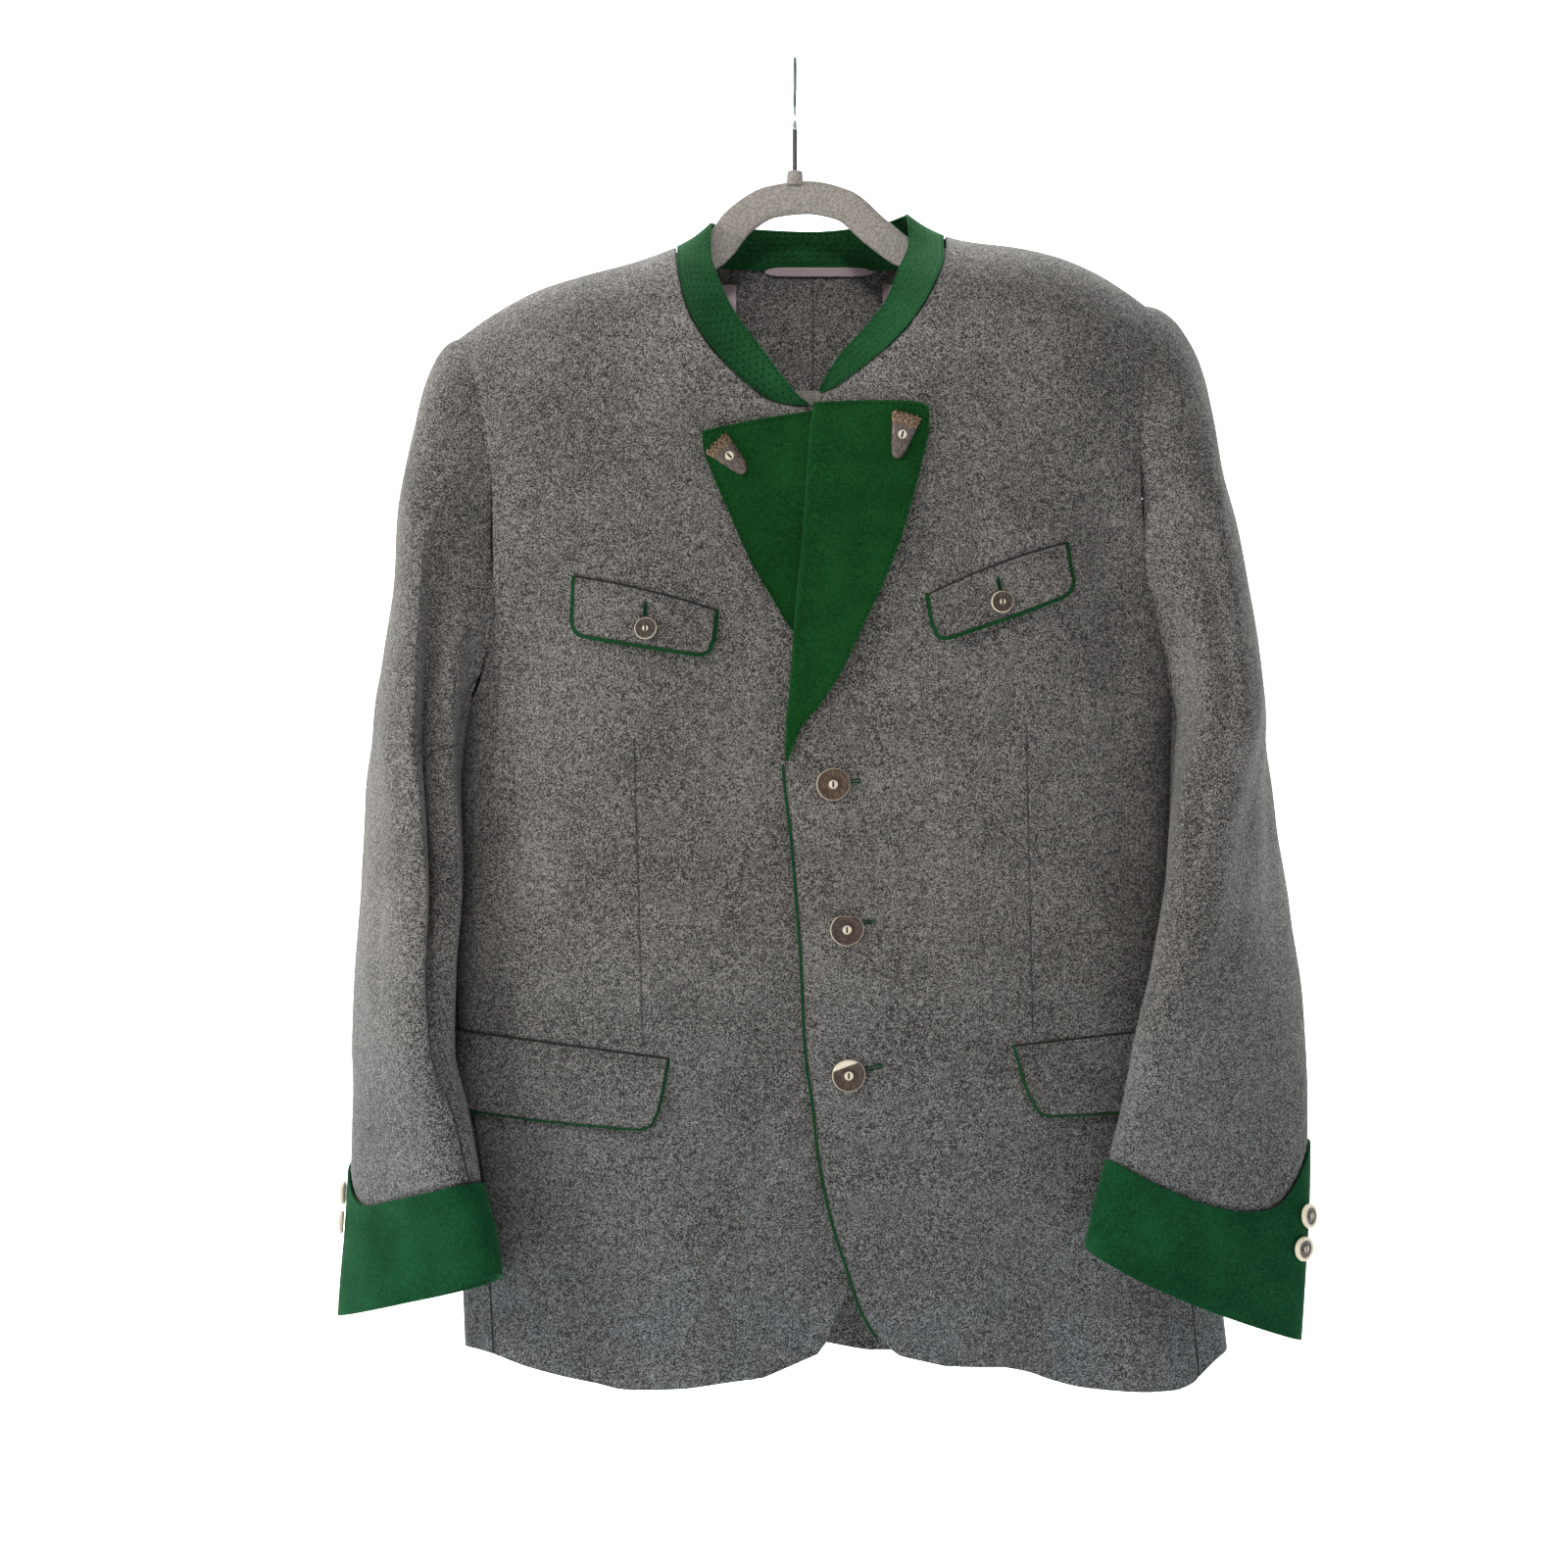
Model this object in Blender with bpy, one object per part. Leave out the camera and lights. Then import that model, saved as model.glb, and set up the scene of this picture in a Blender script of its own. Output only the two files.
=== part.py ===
"""Tyrolean loden jacket hanging on a clothes hanger.

Metres, +Z up. The origin is the underside of the hook's crown, where a rail carries it. The front
faces -Y, and the wearer's left side is at +X. Tables are in millimetres and degrees.
"""
import math

import bmesh
import bpy
import numpy as np

MM = 0.001

# Cloth and gaps
LODEN = 0.0020
GREEN_CLOTH = 0.0018
LINING = 0.0010
SEAM_GAP = 0.0005
SHOULDER_GAP = 0.0009
LAYER = 0.0032           # from the middle of one layer of cloth to the middle of the next
UNDERLAP_DEPTH = 0.0056  # how far the right front sinks below the left front
SEAM_TURN = 0.0025       # radians that a side seam keeps open on each side
ROUNDNESS = 2.6          # of the body's cross-section
SLEEVE_ROUNDNESS = 2.3
SHOULDER_ROLL = 0.058    # height over which front and back roll over the shoulder

# Hems, vent and seams
BODY_ROWS = 18
THROAT = -0.2505
VENT_TOP = -0.655
VENT_UNDERLAP = 0.020
SLEEVE_JOIN = -0.500     # where the sleeve's rows become level

# Buttons
FRONT_BUTTON = 0.0218
CHEST_BUTTON = 0.0146
CUFF_BUTTON = 0.0165

# Hanger
WIRE = 0.0026
COLLAR_OF_WIRE = 0.0036
HANGER_THICKNESS = 0.006

LEFT, RIGHT = 1, -1
SIDE_NAMES = {RIGHT: "right", LEFT: "left"}


def chart(columns, *rows):
    """A table with named columns: millimetres become metres, and columns named _deg radians."""
    named = zip(columns.split(), np.array(rows, float).T)
    return {name: np.radians(values) if name.endswith("_deg") else values * MM for name, values in named}


def smooth(at, xs, ys):
    """A curve through the points that never swings past them."""
    order = np.argsort(xs)
    xs = xs[order]
    ys = ys[order]
    steps = np.diff(xs)
    slopes = np.diff(ys) / steps
    product = slopes[:-1] * slopes[1:]
    total = np.where(product > 0, slopes[:-1] + slopes[1:], 1.0)
    inner = np.where(product > 0, 2 * product / total, 0.0)
    tangents = np.concatenate([slopes[:1], inner, slopes[-1:]])
    at = np.clip(np.asarray(at, float), xs[0], xs[-1])
    i = np.clip(np.searchsorted(xs, at, "right") - 1, 0, len(steps) - 1)
    t = (at - xs[i]) / steps[i]
    start = ys[i] * (1 + 2 * t) * (1 - t) ** 2 + steps[i] * tangents[i] * t * (1 - t) ** 2
    end = ys[i + 1] * t * t * (3 - 2 * t) + steps[i] * tangents[i + 1] * t * t * (t - 1)
    return start + end


def read(table, column, at, by="z"):
    return smooth(at, table[by], table[column])


def ease(low, high, at):
    """0 below low, 1 above high, and a soft step between."""
    t = np.clip((at - low) / (high - low), 0, 1)
    return t * t * (3 - 2 * t)


# The body: silhouette at each height, and how deep the front and the back stand
BODY = chart(
    "z right left front back",
    (-110, -238, 264, 60, 55),
    (-200, -238, 264, 64, 59),
    (-330, -236, 262, 66, 61),
    (-462, -228.5, 258, 66, 60),
    (-530, -228.5, 257, 64, 58),
    (-600, -231.5, 261, 62, 56),
    (-680, -231, 270, 59, 53),
    (-790, -226, 281, 56, 50),
    (-920, -222, 296, 52, 46),
)
SHOULDER = chart(
    "x z",
    (-275, -226), (-239, -203), (-229, -195.5), (-208, -181), (-190, -170.5), (-172, -162),
    (-143, -153), (-109, -144), (-81, -134), (-50, -119), (12, -110), (70, -113), (101, -126),
    (117, -130), (150, -134), (177, -140), (202, -150), (224, -163), (241, -175), (263, -190),
    (300, -215),
)
# The hem, front and back, at each distance across
HEM_FRONT = chart(
    "x z",
    (-226, -880), (-214, -881), (-200, -883), (-177, -889), (-156, -895), (-135, -900),
    (-115, -904), (-80, -902), (-50, -898), (-20, -894), (-4, -890), (6, -885), (15, -879),
    (70, -879), (82, -884), (97, -886), (135, -887), (155, -891), (171, -897), (192, -902),
    (225, -905), (254, -906), (266, -903), (275, -896), (285, -888), (296, -879),
)
HEM_BACK = chart("x z", (-226, -880), (-120, -884), (10, -888), (60, -895), (200, -888), (296, -879))
# Inner edge of each front: neckline, roll line, closing edge and rounded corner
EDGE_RIGHT = chart(
    "z x",
    (-894, -20), (-885, 6), (-879, 15), (-867, 23), (-857, 27), (-843, 33), (-830, 37), (-800, 44),
    (-740, 47), (-560, 46), (-480, 34), (-400, 23), (-300, 15), (-253, 12), (-249.5, 5),
    (-247, -13), (-238, -28), (-224, -44), (-205, -60), (-181, -73), (-150, -79.5), (-134, -81),
)
EDGE_LEFT = chart(
    "z x",
    (-887, 100), (-884, 80), (-879, 69), (-871, 59), (-861, 51), (-846, 43), (-830, 38),
    (-787, 24.5), (-745, 16), (-716, 13), (-680, 8), (-606, 4), (-533, -2), (-483, -7),
    (-442, -2), (-359, 5), (-309, 9), (-255, 14), (-243, 16.5), (-237, 28), (-231, 36),
    (-213, 59), (-194, 77), (-168, 93), (-144, 101), (-126, 102.5),
)
NECK_BACK = chart("x z", (-81, -134), (-70, -136.3), (-40, -137), (60, -137), (88, -135), (101, -126))
# Front seam and back seam of the side bodies
SIDE_SEAMS = chart(
    "z front_deg back_deg",
    (-920, 66, 121), (-800, 67.5, 120), (-740, 70, 119), (-690, 76, 118), (-640, 80, 117),
    (-560, 80, 115), (-440, 80, 111), (-400, 80, 111),
)
# The armhole loop: round runs from the shoulder to the front, the underarm, the back and up again
ARMHOLE = {
    RIGHT: chart(
        "round_deg turn_deg z",
        (0, 74.6, -195.5), (25, 68, -214), (45, 63.5, -245), (65, 61, -277), (85, 59.8, -308),
        (105, 60.2, -350), (125, 62.5, -392), (145, 68, -430), (162, 78, -454), (180, 90, -462),
        (198, 103, -455), (215, 111, -437), (235, 117, -400), (255, 121, -355), (275, 122, -312),
        (295, 120, -275), (315, 116.5, -243), (335, 112, -214), (360, 105.4, -195.5),
    ),
    LEFT: chart(
        "round_deg turn_deg z",
        (0, 63.7, -173), (25, 62, -198), (45, 61.3, -232), (65, 60.8, -268), (85, 61.3, -302),
        (105, 63.5, -340), (125, 67.5, -378), (145, 73, -418), (162, 81, -448), (180, 90, -456),
        (198, 102, -449), (215, 110, -430), (235, 116, -393), (255, 120, -347), (275, 121, -302),
        (295, 119.5, -265), (315, 117.8, -229), (335, 117, -196), (360, 116.3, -173),
    ),
}
# The sleeves' cross-sections: middle, half length and half thickness, and how far they turn
SLEEVE = {
    RIGHT: chart(
        "z x y long short lean_deg",
        (-885, -250, -42, 66.5, 21, 32), (-818, -250.4, -38, 66.5, 22, 38), (-760, -256, -31, 66, 24, 50),
        (-716, -260, -23, 66, 25, 57), (-677, -266, -16, 66, 26, 64), (-630, -266, -10, 66, 27, 66),
        (-566, -262.5, -6, 66, 27, 67), (-500, -262.5, -5, 65, 26, 71), (-470, -260, -4, 64, 27, 75), (-440, -256, -3, 64, 28.5, 78),
        (-416, -251, -2, 63, 30, 82), (-365, -244, 0, 61, 29, 86), (-312, -240, 0, 59, 29, 88),
        (-250, -231, 0, 55, 28, 88), (-190, -228, 0, 50, 28, 88),
    ),
    LEFT: chart(
        "z x y long short lean_deg",
        (-885, 257, -65, 75, 18, 8), (-800, 266, -62, 73.8, 19.2, 10.3), (-764, 272, -58.5, 72, 21, 15.5),
        (-721, 278.5, -53, 70.5, 23, 24), (-661, 285.5, -43, 69, 25, 34), (-610, 291, -26, 68, 26, 46),
        (-565, 293, -15, 67, 26, 55), (-500, 293, -6, 66, 27, 68), (-450, 292, -3, 65, 29, 82),
        (-410, 286, 0, 63, 30, 86), (-362, 278, 0, 61, 30, 87), (-325, 270, 0, 60, 30, 88),
        (-285, 261, 0, 58, 29, 88), (-237, 255, 0, 55, 28, 88), (-180, 252, 0, 50, 28, 88),
    ),
}
CUFF_RIM = {RIGHT: (-0.821, -0.861), LEFT: (-0.803, -0.868)}  # inner end, outer end
# Upper edge of the cuffs, from the inner end of the section (0) to the back seam (1000)
CUFF_TOP = {
    RIGHT: chart(
        "share z",
        (0, -761), (130, -766), (320, -772), (490, -777), (730, -783), (810, -780), (900, -769),
        (1000, -757),
    ),
    LEFT: chart(
        "share z",
        (0, -746), (120, -755), (240, -763), (365, -770), (500, -776), (675, -780.5), (765, -780),
        (830, -776), (875, -769), (925, -758), (1000, -737),
    ),
}
# Seams of the two-piece sleeves, as angles round the section
SLEEVE_SEAMS = {
    RIGHT: chart("share front_deg back_deg", (0, 234, 9), (380, 226, 5), (500, 177, 3), (1000, 180, -2)),
    LEFT: chart("share front_deg back_deg", (0, 246, 9), (500, 236, 3), (1000, 206, -2)),
}
# The deep fold that runs down the front of the right sleeve
FRONT_FOLD = chart("z depth", (-700, 0), (-660, 3), (-600, 8), (-500, 10), (-420, 9), (-350, 6), (-270, 0))
# The collar: foot on the neckline and upper edge, from the right end round the back to the left end
COLLAR = chart(
    "share foot_x foot_y foot_z top_x top_y top_z",
    (0, 6, -57, -248.5, 9.5, -55.5, -246.5),
    (50, -13, -58, -246, 1.5, -55, -240),
    (100, -28, -58.5, -237, -12.5, -53, -222),
    (150, -44, -58.5, -223, -26, -49, -203.5),
    (200, -60, -57, -204, -40, -42, -184),
    (260, -73, -52, -180, -51, -33, -160),
    (320, -80, -32, -148, -57, -19, -137),
    (370, -80.5, -2, -133, -57, -2, -116),
    (400, -74, 22, -135, -51, 16, -114),
    (430, -52, 38, -136, -37, 31, -113),
    (500, 12, 46.5, -136, 12, 40.5, -113.5),
    (570, 76, 41, -136, 57, 32, -110.5),
    (600, 95, 23, -131, 70, 16, -109.5),
    (630, 101, -2, -125, 76, -2, -110),
    (680, 101, -34, -143, 77, -19, -131),
    (740, 93, -53, -167, 70, -33, -152),
    (800, 77, -59, -193, 61, -43, -175),
    (850, 59, -61, -212, 48, -50, -193),
    (910, 36, -62, -230, 28, -57, -216),
    (960, 28, -62, -236, 19, -60, -231),
    (1000, 18, -63, -241, 15.5, -62, -238.5),
)
# Outer edge of the lapels
LAPEL = {
    RIGHT: chart(
        "z roll edge",
        (-424, 17, 13), (-402, 17, 1), (-392, 17, -6), (-375, 16.5, -16),
        (-349, 16, -31), (-319, 15, -44), (-292, 13, -55.5), (-275, 12, -61), (-252, 10, -61),
    ),
    LEFT: chart(
        "z roll edge",
        (-484, -6.5, -5), (-475, -6, -1.5), (-461, -4, 4.5), (-446, -2, 17), (-422, 0, 32),
        (-394, 2, 45), (-362, 5, 60), (-329, 8, 72), (-292, 10.5, 82), (-262, 13, 88),
        (-246, 15, 88),
    ),
}
LAPEL_TOP = {
    RIGHT: chart("x z", (-61, -266), (-44, -262), (-20, -257), (10, -252)),
    LEFT: chart("x z", (15, -247), (39, -246), (64, -246), (82, -247.5), (88, -250)),
}
# Flaps: corners, top inner, top outer, bottom outer, bottom inner; bow of the top line; corner round
FLAPS = {
    ("chest", RIGHT): dict(top=(-52.5, -383, -145.5, -360.6), bottom=(-55.5, -414, -146, -399), bow=2.5, corner=7),
    ("chest", LEFT): dict(top=(88, -373, 179, -338.5), bottom=(92.5, -404.5, 182.5, -371.5), bow=4, corner=7),
    ("hip", RIGHT): dict(top=(-84.5, -680.5, -230.2, -664), bottom=(-92.5, -728, -229, -713), bow=4, corner=7),
    ("hip", LEFT): dict(top=(145.5, -672, 264, -661), bottom=(158, -719, 264, -715), bow=2, corner=8),
}
PIPING_WIDTH = {"chest": 0.0028, "hip": 0.0016}
# Hanger: the top arm from the right end over the neck to the left end, and the bar below
HANGER_ARM = chart(
    "x z width",
    (-200, -196, 20), (-188, -186.5, 22), (-150, -170, 22), (-110, -159, 21.5), (-82, -149, 21.5),
    (-55, -135, 22), (-38, -114, 22.5), (-16, -101, 22.5), (9, -98, 23), (33, -103, 22.5),
    (55, -121, 22), (76, -136, 21), (110, -145, 22), (150, -152, 22), (190, -163, 22),
    (216, -177, 22), (226, -186, 20),
)
HANGER_BAR_Z = -0.2355
HANGER_BAR_WIDTH = 0.011


# --- surfaces -------------------------------------------------------------------------------------

def shoulder_line(x):
    return read(SHOULDER, "z", x, by="x")


def half_and_middle(z):
    right = read(BODY, "right", z)
    left = read(BODY, "left", z)
    return (left - right) / 2, (left + right) / 2


def body_skin(turn, z):
    """Middle of the body cloth: turn is 0 at centre front, a right angle at the wearer's left side."""
    half, middle = half_and_middle(z)
    x = middle + half * np.sin(turn)
    facing = np.cos(turn)
    depth = np.where(facing > 0, read(BODY, "front", z), read(BODY, "back", z))
    swell = (1 - np.clip(np.abs(np.sin(turn)), 0, 1) ** ROUNDNESS) ** (1 / ROUNDNESS)
    below = np.clip((shoulder_line(x) - z) / SHOULDER_ROLL, 0, 1)
    roll = np.sqrt(np.clip(1 - (1 - below) ** 2, 0, 1))
    y = -np.sign(facing) * depth * swell * roll
    return np.stack([x, y, z + 0 * x], axis=-1)


def outward(skin, a, b, step_a, step_b):
    """Unit normals of a surface, from its slopes along both of its parameters."""
    along = skin(a + step_a, b) - skin(a - step_a, b)
    up = skin(a, b + step_b) - skin(a, b - step_b)
    normal = np.cross(along, up)
    return normal / np.maximum(np.linalg.norm(normal, axis=-1, keepdims=True), 1e-12)


def body(turn, z, out=0.0):
    turn = np.asarray(turn, float)
    normal = outward(body_skin, turn, z, 0.01, 0.0015)
    return body_skin(turn, z) + normal * np.asarray(out)[..., None]


def turn_at(x, z, back=False):
    half, middle = half_and_middle(z)
    turn = np.arcsin(np.clip((x - middle) / half, -0.9999, 0.9999))
    return np.where(turn >= 0, math.pi - turn, -math.pi - turn) if back else turn


def underlap(x, z, side):
    """The right front sinks below the left front where they lap."""
    if side == LEFT:
        return 0.0 * x
    edge = read(EDGE_LEFT, "x", z)
    return -UNDERLAP_DEPTH * ease(edge - 0.120, edge, x)


def on_front(x, z, out=0.0, side=LEFT):
    return body(turn_at(x, z), z, out + underlap(x, z, side))


def armhole(side, round_):
    """Turn and height on the body of the armhole loop."""
    table = ARMHOLE[side]
    round_ = np.mod(round_, 2 * math.pi)
    return side * read(table, "turn_deg", round_, by="round_deg"), read(table, "z", round_, by="round_deg")


def armhole_turn(side, z, back):
    """Size of the turn at which the armhole cuts the front or the back at this height."""
    table = ARMHOLE[side]
    half = table["turn_deg"] > math.pi / 2 if back else table["turn_deg"] < math.pi / 2
    return smooth(z, table["z"][half], table["turn_deg"][half])


def tube_skin(side, around, z):
    """A sleeve's section: around is 0 at the back end, a right angle on the outer face, then the front."""
    table = SLEEVE[side]
    x, y, long_, short, lean = (read(table, name, z) for name in ("x", "y", "long", "short", "lean_deg"))
    along = long_ * np.cos(around)
    swell = (1 - np.clip(np.abs(np.cos(around)), 0, 1) ** SLEEVE_ROUNDNESS) ** (1 / SLEEVE_ROUNDNESS)
    across = short * swell * np.sign(np.sin(around))
    return np.stack(
        [
            x + side * (along * np.cos(lean) + across * np.sin(lean)),
            y + along * np.sin(lean) - across * np.cos(lean),
            z + 0 * along,
        ],
        axis=-1,
    )


def cuff_rim(side, around):
    inner, outer = CUFF_RIM[side]
    return inner + (outer - inner) * ((1 + np.cos(around)) / 2) ** 0.75


def sleeve_skin(side, around, down):
    """A sleeve from the armhole, down = 0, through the level rows at 1, to the rim of the cuff at 2."""
    turn, start_z = armhole(side, around - math.pi / 2)
    under = (1 - np.sin(around)) / 2
    start = body_skin(turn, start_z)
    clear = 0.0021 + 0.0020 * ease(0.6, 0.95, under)
    start = start + np.stack([side * clear, 0 * clear, 0 * clear], axis=-1)
    cap = np.clip(down, 0, 1) ** 1.5
    z = np.where(
        down <= 1,
        start_z + (SLEEVE_JOIN - start_z) * cap,
        SLEEVE_JOIN + (cuff_rim(side, around) - SLEEVE_JOIN) * np.clip(down - 1, 0, 1),
    )
    reach = 0.075 - 0.040 * under
    gone = np.clip((start_z - z) / reach, 0, 1)
    blend = np.sqrt(np.clip(1 - (1 - gone) ** 2, 0, 1))[..., None]
    tube = tube_skin(side, around, z)
    point = start * (1 - blend) + tube * blend
    point[..., 2] = z
    return point


def front_fold(side, around, z):
    """Depth of the right sleeve's front fold: a groove, steep on its outer bank."""
    if side == LEFT:
        return 0.0 * around
    degrees = np.degrees(np.mod(around, 2 * math.pi))
    groove = ease(158, 173, degrees) * (1 - ease(176, 205, degrees))
    return -read(FRONT_FOLD, "depth", z) * groove


def sleeve(side, around, down, out=0.0):
    def skin(a, b):
        return sleeve_skin(side, a, b)

    base = skin(around, down)
    normal = outward(skin, around, np.clip(down, 0.02, 1.99), 0.01, 0.01) * side
    return base + normal * (out + front_fold(side, around, base[..., 2]))[..., None]


def tube(side, around, z, out=0.0):
    def skin(a, b):
        return tube_skin(side, a, b)

    normal = outward(skin, around, z, 0.01, 0.001) * -side
    return skin(around, z) + normal * np.asarray(out)[..., None]


# --- making solids --------------------------------------------------------------------------------

def finish(name, look):
    colour, roughness, metallic = look
    material = bpy.data.materials.new(name)
    material.use_nodes = True
    shader = material.node_tree.nodes["Principled BSDF"]
    shader.inputs["Base Color"].default_value = (*colour, 1)
    shader.inputs["Roughness"].default_value = roughness
    shader.inputs["Metallic"].default_value = metallic
    return material


def add_object(name, mesh_data, look, smooth_faces=True):
    bmesh.ops.recalc_face_normals(mesh_data, faces=mesh_data.faces[:])
    if mesh_data.calc_volume(signed=True) < 0:
        bmesh.ops.reverse_faces(mesh_data, faces=mesh_data.faces[:])
    mesh = bpy.data.meshes.new(name)
    mesh_data.to_mesh(mesh)
    mesh_data.free()
    mesh.materials.append(finish(name, look))
    if smooth_faces:
        mesh.shade_smooth()
        mesh.set_sharp_from_angle(angle=math.radians(40))
    obj = bpy.data.objects.new(name, mesh)
    bpy.context.collection.objects.link(obj)
    return obj


def wall(name, columns, rows, place, thickness, look, closed=False):
    """A closed wall of cloth. place(u, v, out) gives the point at out metres off the cloth's middle."""
    cloth = bmesh.new()
    bmesh.ops.create_grid(cloth, x_segments=columns, y_segments=rows, size=1)
    u_layer = cloth.verts.layers.float.new("u")
    v_layer = cloth.verts.layers.float.new("v")
    for vert in cloth.verts:
        vert[u_layer] = (vert.co.x + 1) / 2
        vert[v_layer] = (vert.co.y + 1) / 2
    if closed:
        move_to(cloth.verts, u_layer, v_layer, place, 0.0)
        bmesh.ops.remove_doubles(cloth, verts=cloth.verts[:], dist=1e-6)
    made = bmesh.ops.extrude_face_region(cloth, geom=cloth.faces[:])["geom"]
    outer = {item for item in made if isinstance(item, bmesh.types.BMVert)}
    move_to([v for v in cloth.verts if v not in outer], u_layer, v_layer, place, -thickness / 2)
    move_to(list(outer), u_layer, v_layer, place, thickness / 2)
    return add_object(name, cloth, look)


def move_to(verts, u_layer, v_layer, place, out):
    u = np.array([vert[u_layer] for vert in verts])
    v = np.array([vert[v_layer] for vert in verts])
    for vert, point in zip(verts, place(u, v, np.full(len(u), out))):
        vert.co = point


GREY = ((0.150, 0.143, 0.136), 0.95, 0.0)
GREEN = ((0.006, 0.100, 0.030), 0.92, 0.0)
DARK_GREEN = ((0.006, 0.050, 0.016), 0.92, 0.0)
MAUVE = ((0.300, 0.220, 0.230), 0.55, 0.0)
HORN = ((0.210, 0.130, 0.075), 0.50, 0.0)
FLOCK = ((0.330, 0.290, 0.270), 0.95, 0.0)
CHROME = ((0.620, 0.640, 0.640), 0.18, 1.0)


# --- body panels ----------------------------------------------------------------------------------

def row_height(v, low, corner, high):
    """Heights of a panel's rows: half below the armhole's corner, then up to the throat, the shoulder
    and round the shoulder's roll."""
    roll = high - SHOULDER_ROLL
    throat = np.minimum(THROAT, roll - 0.008)
    lower = low + (corner - low) * np.clip(v * 2, 0, 1)
    chest = (throat - corner) * np.clip(v * 6 - 3, 0, 1)
    upper = (roll - throat) * np.clip(v * 6 - 4, 0, 1)
    bend = np.clip(v * 6 - 5, 0, 1) * math.pi / 2
    return lower + chest + upper + (high - roll) * np.sin(bend)


def panel_point(u, v, inner, outer, corner, bottom, top):
    """Solves a panel's grid: u from the inner to the outer edge, v from the hem to the top."""
    u = np.sin(1.2 * u) / math.sin(1.2)
    x = inner(-0.5 + 0 * u) * (1 - u) + outer(-0.5 + 0 * u) * u
    for _ in range(16):
        z = row_height(v, bottom(x), corner, top(x))
        x = 0.4 * x + 0.6 * (inner(z) * (1 - u) + outer(z) * u)
    return x, row_height(v, bottom(x), corner, top(x))


def front_outer(side):
    def outer(z):
        seam = read(SIDE_SEAMS, "front_deg", z)
        hole = armhole_turn(side, z, back=False)
        half, middle = half_and_middle(z)
        turn = np.where(z > armhole_corner(side, back=False), hole, seam)
        return middle + side * half * np.sin(turn - SEAM_TURN)
    return outer


def armhole_corner(side, back):
    """Height at which a side seam runs into the armhole."""
    heights = np.linspace(-0.46, -0.40, 61)
    seam = read(SIDE_SEAMS, "back_deg" if back else "front_deg", heights)
    hole = armhole_turn(side, heights, back)
    reached = hole >= seam if back else hole <= seam
    return heights[np.argmax(reached)]


def make_front(side):
    edge = EDGE_LEFT if side == LEFT else EDGE_RIGHT

    def place(u, v, out):
        x, z = panel_point(
            u, v,
            lambda z: read(edge, "x", z),
            front_outer(side),
            armhole_corner(side, back=False),
            lambda x: read(HEM_FRONT, "z", x, by="x"),
            shoulder_line,
        )
        point = on_front(x, z, out, side)
        point[..., 1] -= SHOULDER_GAP / 2
        return point

    wall(f"front_{SIDE_NAMES[side]}", 12, BODY_ROWS, place, LODEN, GREY)


def back_top(x):
    at_neck = (x > NECK_BACK["x"][0]) & (x < NECK_BACK["x"][-1])
    return np.where(at_neck, read(NECK_BACK, "z", x, by="x"), shoulder_line(x))


def vent(z):
    return ease(VENT_TOP + 0.006, VENT_TOP - 0.010, z)


def make_back(side):
    def inner(z):
        _, middle = half_and_middle(z)
        lap = VENT_UNDERLAP * vent(z) if side == RIGHT else 0.0
        return middle + side * SEAM_GAP / 2 + lap

    def outer(z):
        seam = read(SIDE_SEAMS, "back_deg", z)
        hole = armhole_turn(side, z, back=True)
        half, middle = half_and_middle(z)
        turn = np.where(z > armhole_corner(side, back=True), hole, seam)
        return middle + side * half * np.sin(turn + SEAM_TURN)

    def place(u, v, out):
        corner = armhole_corner(side, back=True)
        x, z = panel_point(u, v, inner, outer, corner, lambda x: read(HEM_BACK, "z", x, by="x"), back_top)
        _, middle = half_and_middle(z)
        if side == RIGHT:
            sunk = ease(middle - 0.050, middle - 0.004, x) * ease(VENT_TOP + 0.080, VENT_TOP + 0.040, z)
            out = out - 0.0028 * sunk
        point = body(turn_at(x, z, back=True), z, out)
        point[..., 1] += SHOULDER_GAP / 2
        return point

    wall(f"back_{SIDE_NAMES[side]}", 9, BODY_ROWS, place, LODEN, GREY)


def make_side(side):
    def place(u, v, out):
        z = -0.6 + 0 * u
        for _ in range(8):
            front = read(SIDE_SEAMS, "front_deg", z) + SEAM_TURN
            back = read(SIDE_SEAMS, "back_deg", z) - SEAM_TURN
            turn = front + (back - front) * u
            half, middle = half_and_middle(z)
            x = middle + side * half * np.sin(turn)
            hem = np.where(
                turn < math.pi / 2, read(HEM_FRONT, "z", x, by="x"), read(HEM_BACK, "z", x, by="x")
            )
            table = ARMHOLE[side]
            top = smooth(turn, table["turn_deg"][7:13], table["z"][7:13]) - SEAM_GAP
            z = hem + (top - hem) * v
        return body(side * turn, z, out)

    wall(f"side_{SIDE_NAMES[side]}", 6, BODY_ROWS // 2, place, LODEN, GREY)


# --- sleeves and cuffs ----------------------------------------------------------------------------

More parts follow.
